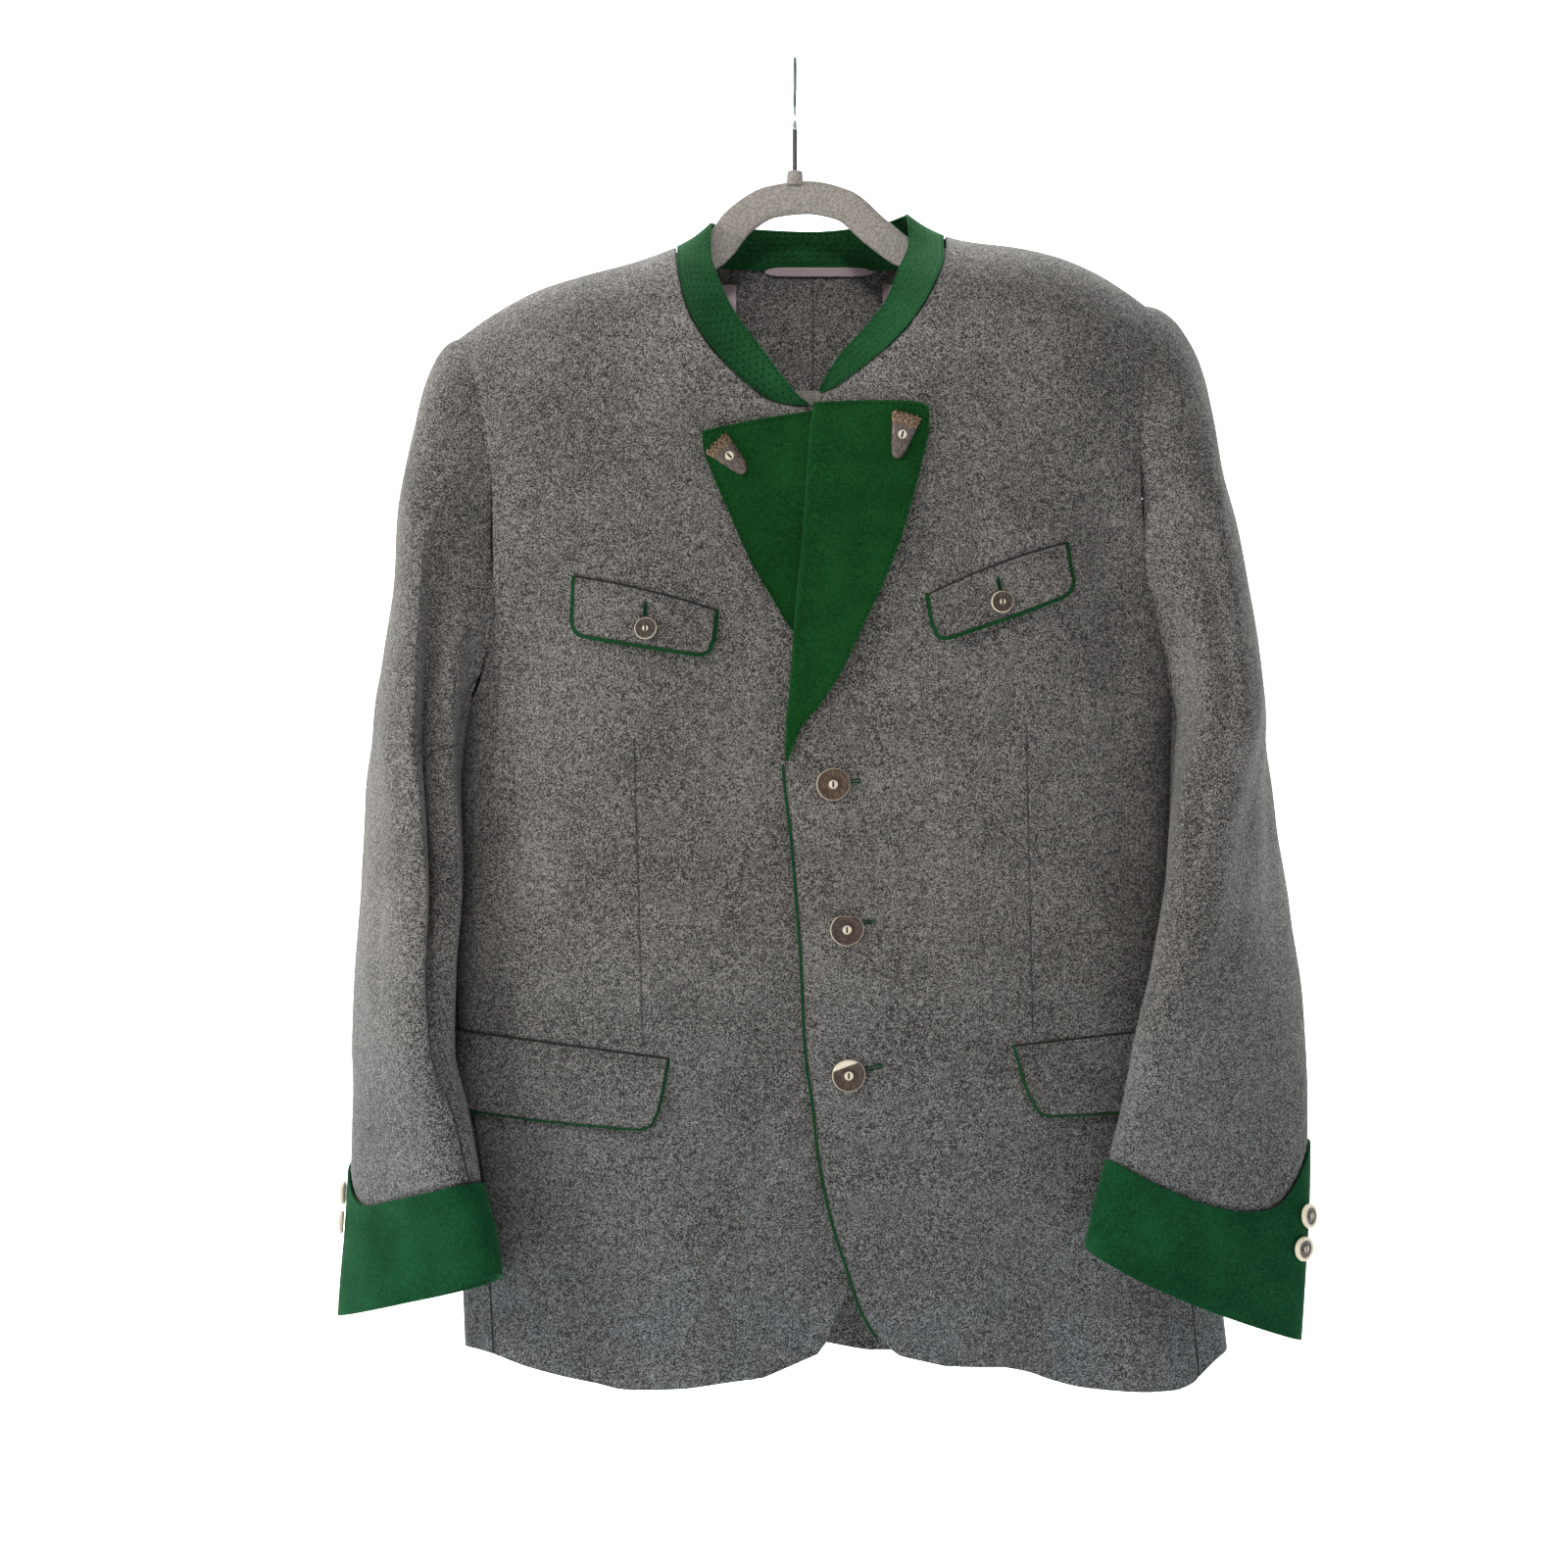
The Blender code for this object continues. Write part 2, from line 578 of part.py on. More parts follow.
def make_sleeve(side):
    def place_between(u, v, out, first, last, gap):
        down = np.where(v < 0.4, v / 0.4, 1 + (v - 0.4) / 0.6)
        share = down / 2
        start = first(share) + gap
        end = last(share) - gap
        around = start + (end - start) * u
        rim = 0.003 * ease(0.95, 1.0, v)
        base = sleeve_skin(side, around, np.minimum(down, 1.995))
        inside_cuff = ease(0.004, -0.006, base[..., 2] - cuff_top(side, around))
        point = sleeve(side, around, np.minimum(down, 1.995), out - 0.0034 * inside_cuff)
        point[..., 2] += rim
        return point

    def back_seam(share):
        return read(SLEEVE_SEAMS[side], "back_deg", share, by="share")

    def front_seam(share):
        return read(SLEEVE_SEAMS[side], "front_deg", share, by="share")

    name = SIDE_NAMES[side]
    gap = 0.006
    wall(
        f"sleeve_top_{name}", 13, 14,
        lambda u, v, out: place_between(u, v, out, back_seam, front_seam, gap),
        LODEN, GREY,
    )
    wall(
        f"sleeve_under_{name}", 6, 14,
        lambda u, v, out: place_between(
            u, v, out, front_seam, lambda share: back_seam(share) + 2 * math.pi, gap
        ),
        LODEN, GREY,
    )


def cuff_top(side, around):
    return read(CUFF_TOP[side], "z", (1 + np.cos(around)) / 2, by="share")


def make_cuff(side):
    def place(u, v, out):
        around = 2 * math.pi * u
        top = cuff_top(side, around)
        z = top + (cuff_rim(side, around) - top) * v
        return tube(side, around, z, out + 0.0020)

    wall(f"cuff_{SIDE_NAMES[side]}", 28, 4, place, GREEN_CLOTH, GREEN, closed=True)


# --- collar, lapels, flaps and trims --------------------------------------------------------------

def collar_skin(along, up):
    foot = np.stack([read(COLLAR, f"foot_{axis}", along, by="share") for axis in "xyz"], axis=-1)
    top = np.stack([read(COLLAR, f"top_{axis}", along, by="share") for axis in "xyz"], axis=-1)
    lean = (top - foot) / np.linalg.norm(top - foot, axis=-1, keepdims=True)
    foot = foot + lean * 0.0020
    return foot + (top - foot) * up[..., None]


def make_collar():
    def place(u, v, out):
        normal = outward(collar_skin, np.clip(u, 0.01, 0.99), v, 0.008, 0.05)
        return collar_skin(u, v) + normal * out[..., None]

    wall("collar", 32, 2, place, GREEN_CLOTH, GREEN)


def make_lapel(side):
    table = LAPEL[side]
    tip = table["z"].min()
    lift = LAYER + (0.0003 if side == RIGHT else 0.0)

    def place(u, v, out):
        z = -0.35 + 0 * u
        for _ in range(12):
            x = read(table, "roll", z) * (1 - u) + read(table, "edge", z) * u
            top = read(LAPEL_TOP[side], "z", x, by="x")
            z = tip + (top - tip) * v
        return on_front(x, z, out + lift, side)

    wall(f"lapel_{SIDE_NAMES[side]}", 6, 9, place, GREEN_CLOTH, GREEN)


def flap_point(kind, side, u, v):
    """Place on the front of a flap: u from its inner to its outer end, v from its top to its free edge."""
    flap = FLAPS[kind, side]
    inner_x, inner_z, outer_x, outer_z = (value * MM for value in flap["top"])
    low_inner_x, low_inner_z, low_outer_x, low_outer_z = (value * MM for value in flap["bottom"])
    bow = flap["bow"] * MM * 4 * u * (1 - u) * (1 - v)
    corner = flap["corner"] * MM * (ease(0.10, 0.0, u) + ease(0.90, 1.0, u)) * v ** 3
    z = (inner_z + (outer_z - inner_z) * u) * (1 - v) + (low_inner_z + (low_outer_z - low_inner_z) * u) * v
    z = z + bow + corner
    half, middle = half_and_middle(z)
    inner_turn = turn_at(inner_x * (1 - v) + low_inner_x * v, z)
    outer_turn = turn_at(outer_x * (1 - v) + low_outer_x * v, z)
    return middle + half * np.sin(inner_turn * (1 - u) + outer_turn * u), z


def make_flap(kind, side):
    def place(u, v, out):
        x, z = flap_point(kind, side, u, v)
        return on_front(x, z, out + lift + 0.0012 * v, side)

    def piping(u, v, out):
        down, across, up = u * 3, u * 3 - 1, u * 3 - 2
        first = u <= 1 / 3
        last = u >= 2 / 3
        flap_u = np.where(first, 0, np.where(last, 1, across))
        flap_v = np.where(first, down, np.where(last, 1 - up, 1))
        x, z = flap_point(kind, side, flap_u, flap_v)
        middle_x, middle_z = flap_point(kind, side, 0.5, 0.5)
        inside_x, inside_z = flap_point(kind, side, 0.06 + 0.88 * flap_u, 0.9 * flap_v)
        away_x = np.where(first | last, np.sign(x - middle_x), (x - inside_x) / 0.02)
        away_z = np.where(first | last, -0.2 * ease(0.7, 1.0, flap_v), -1)
        size = np.hypot(away_x, away_z)
        reach = 0.0004 + PIPING_WIDTH[kind] * v
        return on_front(x + away_x / size * reach, z + away_z / size * reach, out + lift + 0.0012 * flap_v, side)

    name = SIDE_NAMES[side]
    lift = LAYER
    wall(f"flap_{kind}_{name}", 8 if kind == "chest" else 11, 4, place, LODEN, GREY)
    wall(f"piping_{kind}_{name}", 24 if kind == "chest" else 33, 1, piping, 0.0016, DARK_GREEN)


def make_edge_piping():
    """Green edging along the left front's edge, from the lapel to the rounded corner."""
    def place(u, v, out):
        z = -0.486 + (-0.880 + 0.486) * u
        x = read(EDGE_LEFT, "x", z)
        slope = (read(EDGE_LEFT, "x", z + 0.002) - read(EDGE_LEFT, "x", z - 0.002)) / 0.004
        size = np.hypot(1, slope)
        reach = 0.0008 + 0.0016 * v
        return on_front(x - reach / size, z + reach * slope / size, out)

    wall("edge_piping", 30, 1, place, LODEN, DARK_GREEN)


def make_inside_neck():
    def tape(u, v, out):
        x = -0.021 + 0.076 * u
        z = -0.1390 - 0.0060 * v
        point = body(turn_at(x, z, back=True), z, out - 0.0045)
        point[..., 2] += 0.0035
        return point

    wall("hanging_tape", 8, 1, tape, LINING, MAUVE)
    for side, near, far, low in ((RIGHT, -0.0415, -0.066, -0.184), (LEFT, 0.062, 0.086, -0.174)):
        def lining(u, v, out, near=near, far=far, low=low):
            x = near + (far - near) * u
            z = -0.1470 + (low + 0.1470) * v
            return body(turn_at(x, z, back=True), z, out - 0.0058)

        wall(f"lining_{SIDE_NAMES[side]}", 3, 4, lining, LINING, MAUVE)


# --- buttons --------------------------------------------------------------------------------------

def frame_at(point, normal, up=(0, 0, 1)):
    """Axes of a button that lies on the cloth: across, up and out."""
    normal = normal / np.linalg.norm(normal)
    across = np.cross(up, normal)
    across = across / np.linalg.norm(across)
    return point, across, np.cross(normal, across), normal


def disc_button(name, place, diameter, thickness=0.0042, hole=0.0011):
    """A turned disc with a raised boss on a dished face."""
    point, across, upward, normal = place
    radius = diameter / 2
    profile = (
        (0.0, 0.0), (radius * 0.82, 0.0), (radius, thickness * 0.35), (radius, thickness * 0.75),
        (radius * 0.90, thickness), (radius * 0.42, thickness * 0.86), (radius * 0.30, thickness * 1.12),
        (0.0, thickness * 1.12),
    )
    disc = bmesh.new()
    verts = [disc.verts.new((r, 0, h)) for r, h in profile]
    edges = [disc.edges.new(pair) for pair in zip(verts, verts[1:])]
    bmesh.ops.spin(
        disc, geom=verts + edges, cent=(0, 0, 0), axis=(0, 0, 1), angle=2 * math.pi, steps=16,
        use_merge=True,
    )
    bmesh.ops.remove_doubles(disc, verts=disc.verts[:], dist=1e-6)
    for vert in disc.verts:
        vert.co = point + across * vert.co.x + upward * vert.co.y + normal * vert.co.z
    add_object(name, disc, HORN)


def tip_button(name, place, length, burr_width, tip_width, tilt):
    """A flat tip of antler: broad at the burr, narrow at the tip."""
    point, across, upward, normal = place
    tip = bmesh.new()
    bmesh.ops.create_grid(tip, x_segments=4, y_segments=6, size=1)
    body_faces = tip.faces[:]
    made = bmesh.ops.extrude_face_region(tip, geom=body_faces)["geom"]
    raised = {item for item in made if isinstance(item, bmesh.types.BMVert)}
    cos, sin = math.cos(tilt), math.sin(tilt)
    for vert in tip.verts:
        share = (vert.co.y + 1) / 2
        width = tip_width + (burr_width - tip_width) * share
        crown = 0.0035 + 0.0022 * share
        x = vert.co.x * width / 2
        y = (share - 0.5) * length
        lift = crown * (1 - 0.45 * vert.co.x ** 2) if vert in raised else 0.0
        flat_x, flat_y = x * cos - y * sin, x * sin + y * cos
        vert.co = point + across * flat_x + upward * flat_y + normal * lift
    add_object(name, tip, HORN)


def normal_on_front(x, z):
    turn = turn_at(np.array([x]), np.array([z]))
    return outward(body_skin, turn, np.array([z]), 0.01, 0.0015)[0]


def place_on_front(x, z, out, side=LEFT):
    point = on_front(np.array([x]), np.array([z]), np.array([out]), side)[0]
    return frame_at(point, normal_on_front(x, z))


def place_on_cuff(side, around, z, out):
    point = tube(side, np.array([around]), np.array([z]), np.array([out]))[0]
    base = tube(side, np.array([around]), np.array([z]), np.array([out - 0.001]))[0]
    return frame_at(point, point - base)


def make_buttons():
    on_cloth = LODEN / 2 + 0.0005
    for number, (x, z) in enumerate(((0.0251, -0.499), (0.0342, -0.5952), (0.0355, -0.692)), 1):
        disc_button(f"button_front_{number}", place_on_front(x, z, on_cloth), FRONT_BUTTON)
    on_flap = LAYER + LODEN / 2 + 0.0019
    disc_button("button_chest_right", place_on_front(-0.0978, -0.3963, on_flap, RIGHT), CHEST_BUTTON, 0.0034)
    disc_button("button_chest_left", place_on_front(0.1356, -0.3788, on_flap), CHEST_BUTTON, 0.0034)
    on_cuff = 0.0020 + GREEN_CLOTH / 2 + 0.0006
    for side, places in (
        (RIGHT, ((22, -0.779), (22, -0.7985))),
        (LEFT, ((20, -0.786), (24, -0.8065))),
    ):
        for number, (around, z) in enumerate(places, 1):
            spot = place_on_cuff(side, math.radians(around), z, on_cuff)
            disc_button(f"button_cuff_{SIDE_NAMES[side]}_{number}", spot, CUFF_BUTTON, 0.0036)
    on_lapel = LAYER + GREEN_CLOTH / 2 + 0.0018
    tip_button(
        "button_lapel_right", place_on_front(-0.0425, -0.2835, on_lapel, RIGHT), 0.0290, 0.0215, 0.0085,
        math.radians(45),
    )
    tip_button(
        "button_lapel_left", place_on_front(0.0700, -0.2700, on_lapel), 0.0310, 0.0215, 0.0070,
        math.radians(-14),
    )


# --- hanger ---------------------------------------------------------------------------------------

def hanger_path():
    """Centre line and half width of the hanger: along the arms, down the right end and back by the bar."""
    arms = [
        (x, float(read(HANGER_ARM, "z", x, by="x")), float(read(HANGER_ARM, "width", x, by="x")) / 2)
        for x in np.linspace(-0.196, 0.222, 30)
    ]
    bar_half = HANGER_BAR_WIDTH / 2
    left_end = [(0.229, -0.199, 0.0085), (0.227, -0.217, 0.0072), (0.214, HANGER_BAR_Z + 0.002, bar_half)]
    bar = [(x, HANGER_BAR_Z, bar_half) for x in np.linspace(0.190, -0.166, 7)]
    right_end = [(-0.190, HANGER_BAR_Z + 0.003, bar_half), (-0.203, -0.223, 0.0072), (-0.204, -0.209, 0.0085)]
    return arms + left_end + bar + right_end


def make_hanger():
    path = hanger_path()
    count = len(path)
    band = bmesh.new()
    rings = []
    half_thick = HANGER_THICKNESS / 2
    for i, (x, z, half) in enumerate(path):
        before = path[i - 1]
        after = path[(i + 1) % count]
        along = np.array([after[0] - before[0], after[1] - before[1]])
        along = along / np.linalg.norm(along)
        side_x, side_z = -along[1], along[0]
        corners = ((-1, -0.6), (-0.8, -1), (0.8, -1), (1, -0.6), (1, 0.6), (0.8, 1), (-0.8, 1), (-1, 0.6))
        rings.append([
            band.verts.new((x + side_x * half * a, half_thick * b, z + side_z * half * a)) for a, b in corners
        ])
    for first, second in zip(rings, rings[1:] + rings[:1]):
        for j in range(len(first)):
            k = (j + 1) % len(first)
            band.faces.new((first[j], first[k], second[k], second[j]))
    add_object("hanger_body", band, FLOCK)


def make_hook():
    """A wire hook in the plane of Y and Z, over a short threaded collar that sits on the hanger."""
    centre_z = -(0.0220 - WIRE / 2) + WIRE * 0
    radius = 0.0220
    arc = [
        (radius * math.cos(angle), centre_z + radius * math.sin(angle))
        for angle in np.radians(np.linspace(205, -32, 20))
    ]
    foot = [(0.0, -0.0862), (0.0, -0.052), (0.004, -0.0455), (0.013, -0.0400)]
    path = foot + arc[::-1]
    curve = bpy.data.curves.new("hanger_hook", "CURVE")
    curve.dimensions = "3D"
    curve.bevel_depth = WIRE / 2
    curve.bevel_resolution = 2
    curve.use_fill_caps = True
    spline = curve.splines.new("POLY")
    spline.points.add(len(path) - 1)
    for point, (y, z) in zip(spline.points, path):
        point.co = (0, y, z, 1)
        point.radius = COLLAR_OF_WIRE / WIRE if z < -0.0515 and y == 0 else 1.0
    hook = bpy.data.objects.new("hanger_hook", curve)
    curve.materials.append(finish("hanger_hook", CHROME))
    bpy.context.collection.objects.link(hook)


# --- the jacket -----------------------------------------------------------------------------------

for old in list(bpy.data.objects):
    bpy.data.objects.remove(old)

make_hanger()
make_hook()
for wearer_side in (RIGHT, LEFT):
    make_front(wearer_side)
    make_side(wearer_side)
    make_back(wearer_side)
    make_sleeve(wearer_side)
    make_cuff(wearer_side)
    make_lapel(wearer_side)
    for flap_kind in ("chest", "hip"):
        make_flap(flap_kind, wearer_side)
make_collar()
make_edge_piping()
make_inside_neck()
make_buttons()
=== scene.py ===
"""Looks of a tyrolean loden jacket that hangs on a clothes hanger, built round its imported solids.

Metres, +Z up. The origin is the underside of the hook's crown. The front faces -Y, and the wearer's
left side is at +X. Tables are in millimetres and degrees.
"""

import math

import bmesh
import bpy
import numpy as np
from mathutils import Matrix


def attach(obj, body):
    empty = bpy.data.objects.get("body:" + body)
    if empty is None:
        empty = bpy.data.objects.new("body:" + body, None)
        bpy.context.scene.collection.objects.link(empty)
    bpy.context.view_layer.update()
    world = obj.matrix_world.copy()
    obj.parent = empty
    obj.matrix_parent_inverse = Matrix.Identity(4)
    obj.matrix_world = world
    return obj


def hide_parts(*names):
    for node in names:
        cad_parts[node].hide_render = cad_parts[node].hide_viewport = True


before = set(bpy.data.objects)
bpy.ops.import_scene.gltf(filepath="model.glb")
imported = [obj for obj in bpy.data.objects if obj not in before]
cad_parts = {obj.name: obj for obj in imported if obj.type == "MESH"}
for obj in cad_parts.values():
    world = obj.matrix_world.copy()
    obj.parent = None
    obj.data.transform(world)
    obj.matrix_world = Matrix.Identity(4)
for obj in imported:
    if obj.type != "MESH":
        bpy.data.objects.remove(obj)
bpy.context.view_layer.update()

MM = 0.001
LODEN = 0.0020           # thickness of each cloth
GREEN_CLOTH = 0.0018
LINING = 0.0008
SHOULDER_GAP = 0.0005
LAYER = 0.0030           # from the middle of one layer of cloth to the middle of the next
UNDERLAP_DEPTH = 0.0056  # how far the right front lies below the left one
SEAM_GAP = 0.0004
SEAM_TURN = 0.0024       # the same gap, as a turn round the body
SLEEVE_SEAM_TURN = 0.0045
SLEEVE_RIM_REACH = 0.0010  # how far a sleeve's rim reaches over the edge of the armhole
SLEEVE_RIM_STEP = 0.0038   # how much less it reaches at the underarm
FOLD_STRENGTH = 1.35
ROUNDNESS = 2.6          # powers of the rounded cross-sections
SLEEVE_ROUNDNESS = 2.3
SHOULDER_ROLL = 0.058    # height over which the shoulder rounds into the chest
THROAT = -0.2505
VENT_TOP = -0.655
VENT_UNDERLAP = 0.020
SLEEVE_JOIN = -0.500     # below this height the sleeve's rows are level
HANGER_THICKNESS = 0.006
LAPEL_ROLL_SHARE = 0.14  # share of a lapel's width that rolls round the edge
LAPEL_CURL = 0.0030
CUFF_CLEARANCE = 0.0020
CUFF_WAVE = 0.0010
COLLAR_SWELL = 0.0012
FLAP_STAND = 0.0034      # how far a flap's free edge stands off
FLAP_WAVE = 0.0008
PIPING_THICKNESS = 0.0016
PIPING_UNDER = 0.0006    # how far the piping goes under its flap
EDGE_PIPING_WIDTH = 0.0018
EDGE_PIPING_TOP = -0.486
EDGE_PIPING_LOW = -0.866
THREAD = 0.0008
FRONT_BUTTON = (0.0218, 0.0042)  # diameter and thickness
CHEST_BUTTON = (0.0146, 0.0034)
CUFF_BUTTON = (0.0165, 0.0036)

LEFT, RIGHT = 1, -1
SIDE_NAMES = {RIGHT: "right", LEFT: "left"}


def chart(columns, *rows):
    """A table with named columns: millimetres become metres, and columns named _deg radians."""
    named = zip(columns.split(), np.array(rows, float).T)
    return {name: np.radians(values) if name.endswith("_deg") else values * MM for name, values in named}


def folds(columns, *tables):
    """One chart for each fold, all with the same columns."""
    return [chart(columns, *rows) for rows in tables]


def smooth(at, xs, ys):
    """A curve through the points that never swings past them."""
    order = np.argsort(xs)
    xs = xs[order]
    ys = ys[order]
    steps = np.diff(xs)
    slopes = np.diff(ys) / steps
    product = slopes[:-1] * slopes[1:]
    total = np.where(product > 0, slopes[:-1] + slopes[1:], 1.0)
    inner = np.where(product > 0, 2 * product / total, 0.0)
    tangents = np.concatenate([slopes[:1], inner, slopes[-1:]])
    at = np.clip(np.asarray(at, float), xs[0], xs[-1])
    i = np.clip(np.searchsorted(xs, at, "right") - 1, 0, len(steps) - 1)
    t = (at - xs[i]) / steps[i]
    start = ys[i] * (1 + 2 * t) * (1 - t) ** 2 + steps[i] * tangents[i] * t * (1 - t) ** 2
    end = ys[i + 1] * t * t * (3 - 2 * t) + steps[i] * tangents[i + 1] * t * t * (t - 1)
    return start + end


def read(table, column, at, by="z"):
    return smooth(at, table[by], table[column])


def ease(low, high, at):
    """0 below low, 1 above high, and a soft step between."""
    t = np.clip((at - low) / (high - low), 0, 1)
    return t * t * (3 - 2 * t)


# The body: silhouette at each height, and how deep the front and the back stand
BODY = chart(
    "z right left front back",
    (-110, -238, 264, 60, 55),
    (-200, -238, 264, 64, 59),
    (-330, -236, 262, 66, 61),
    (-462, -228.5, 258, 66, 60),
    (-530, -228.5, 257, 64, 58),
    (-600, -231.5, 261, 62, 56),
    (-680, -231, 270, 59, 53),
    (-790, -226, 281, 56, 50),
    (-920, -222, 296, 52, 46),
)
SHOULDER = chart(
    "x z",
    (-275, -226), (-239, -203), (-229, -195.5), (-208, -181), (-190, -170.5), (-172, -162),
    (-143, -153), (-109, -144), (-81, -134), (-50, -119), (12, -110), (70, -113), (101, -126),
    (117, -130), (150, -134), (177, -140), (202, -150), (224, -163), (241, -175), (263, -190),
    (300, -215),
)
# The hem, front and back, at each distance across
HEM_FRONT = chart(
    "x z",
    (-226, -880), (-214, -881), (-200, -883), (-177, -889), (-156, -895), (-135, -900),
    (-115, -904), (-80, -902), (-50, -898), (-20, -894), (-4, -890), (6, -885), (15, -879),
    (70, -879), (82, -884), (97, -886), (135, -887), (155, -891), (171, -897), (192, -902),
    (225, -905), (254, -906), (266, -903), (275, -896), (285, -888), (296, -879),
)
HEM_BACK = chart("x z", (-226, -880), (-120, -884), (10, -888), (60, -895), (200, -888), (296, -879))
# Inner edge of each front: neckline, roll line, closing edge and rounded corner
EDGE_RIGHT = chart(
    "z x",
    (-894, -20), (-885, 6), (-879, 15), (-867, 23), (-857, 27), (-843, 33), (-830, 37), (-800, 44),
    (-740, 47), (-560, 46), (-480, 34), (-400, 23), (-300, 15), (-253, 12), (-249.5, 5),
    (-247, -13), (-238, -28), (-224, -44), (-205, -60), (-181, -73), (-150, -79.5), (-134, -81),
)
EDGE_LEFT = chart(
    "z x",
    (-887, 100), (-884, 80), (-879, 69), (-871, 59), (-861, 51), (-846, 43), (-830, 38),
    (-787, 24.5), (-745, 16), (-716, 13), (-680, 8), (-606, 4), (-533, -2), (-483, -7),
    (-442, -2), (-359, 5), (-309, 9), (-255, 14), (-243, 16.5), (-237, 28), (-231, 36),
    (-213, 59), (-194, 77), (-168, 93), (-144, 101), (-126, 102.5),
)
NECK_BACK = chart("x z", (-81, -134), (-70, -136.3), (-40, -137), (60, -137), (88, -135), (101, -126))
# Front seam and back seam of the side bodies
SIDE_SEAMS = chart(
    "z front_deg back_deg",
    (-920, 66, 121), (-800, 67.5, 120), (-740, 70, 119), (-690, 76, 118), (-640, 80, 117),
    (-560, 80, 115), (-440, 80, 111), (-400, 80, 111),
)
# The armhole loop: round runs from the shoulder to the front, the underarm, the back and up again
ARMHOLE = {
    RIGHT: chart(
        "round_deg turn_deg z",
        (0, 74.6, -195.5), (25, 68, -214), (45, 63.5, -245), (65, 61, -277), (85, 59.8, -308),
        (105, 60.2, -350), (125, 62.5, -392), (145, 68, -430), (162, 78, -454), (180, 90, -462),
        (198, 103, -455), (215, 111, -437), (235, 117, -400), (255, 121, -355), (275, 122, -312),
        (295, 120, -275), (315, 116.5, -243), (335, 112, -214), (360, 105.4, -195.5),
    ),
    LEFT: chart(
        "round_deg turn_deg z",
        (0, 63.7, -173), (25, 62, -198), (45, 61.3, -232), (65, 60.8, -268), (85, 61.3, -302),
        (105, 63.5, -340), (125, 67.5, -378), (145, 73, -418), (162, 81, -448), (180, 90, -456),
        (198, 102, -449), (215, 110, -430), (235, 116, -393), (255, 120, -347), (275, 121, -302),
        (295, 119.5, -265), (315, 117.8, -229), (335, 117, -196), (360, 116.3, -173),
    ),
}
# The sleeves' cross-sections: middle, half length and half thickness, and how far they turn
SLEEVE = {
    RIGHT: chart(
        "z x y long short lean_deg",
        (-885, -250, -42, 66.5, 21, 32), (-818, -250.4, -38, 66.5, 22, 38), (-760, -256, -31, 66, 24, 50),
        (-716, -260, -23, 66, 25, 57), (-677, -266, -16, 66, 26, 64), (-630, -266, -10, 66, 27, 66),
        (-566, -262.5, -6, 66, 27, 67), (-500, -262.5, -5, 65, 26, 71), (-470, -260, -4, 64, 27, 75),
        (-440, -256, -3, 64, 28.5, 78),
        (-416, -251, -2, 63, 30, 82), (-365, -244, 0, 61, 29, 86), (-312, -240, 0, 59, 29, 88),
        (-250, -231, 0, 55, 28, 88), (-190, -228, 0, 50, 28, 88),
    ),
    LEFT: chart(
        "z x y long short lean_deg",
        (-885, 257, -65, 75, 18, 8), (-800, 266, -62, 73.8, 19.2, 10.3), (-764, 272, -58.5, 72, 21, 15.5),
        (-721, 278.5, -53, 70.5, 23, 24), (-661, 285.5, -43, 69, 25, 34), (-610, 291, -26, 68, 26, 46),
        (-565, 293, -15, 67, 26, 55), (-500, 293, -6, 66, 27, 68), (-450, 292, -3, 65, 29, 82),
        (-410, 286, 0, 63, 30, 86), (-362, 278, 0, 61, 30, 87), (-325, 270, 0, 60, 30, 88),
        (-285, 261, 0, 58, 29, 88), (-237, 255, 0, 55, 28, 88), (-180, 252, 0, 50, 28, 88),
    ),
}
CUFF_RIM = {RIGHT: (-0.821, -0.861), LEFT: (-0.803, -0.868)}  # inner end, outer end
# Upper edge of the cuffs, from the inner end of the section (0) to the back seam (1000)
CUFF_TOP = {
    RIGHT: chart(
        "share z",
        (0, -761), (130, -766), (320, -772), (490, -777), (730, -783), (810, -780), (900, -769),
        (1000, -757),
    ),
    LEFT: chart(
        "share z",
        (0, -746), (120, -755), (240, -763), (365, -770), (500, -776), (675, -780.5), (765, -780),
        (830, -776), (875, -769), (925, -758), (1000, -737),
    ),
}
# Seams of the two-piece sleeves, as angles round the section
SLEEVE_SEAMS = {
    RIGHT: chart("share front_deg back_deg", (0, 234, 9), (380, 226, 5), (500, 177, 3), (1000, 180, -2)),
    LEFT: chart("share front_deg back_deg", (0, 246, 9), (500, 236, 3), (1000, 206, -2)),
}
# The deep fold that runs down the front of the right sleeve
FRONT_FOLD = chart(
    "z depth drift_deg",
    (-720, 0, 9), (-690, 4, 8), (-655, 10, 5.5), (-600, 16, 3), (-500, 19, 0), (-420, 16, 0), (-350, 9, 0),
    (-270, 0, 0),
)
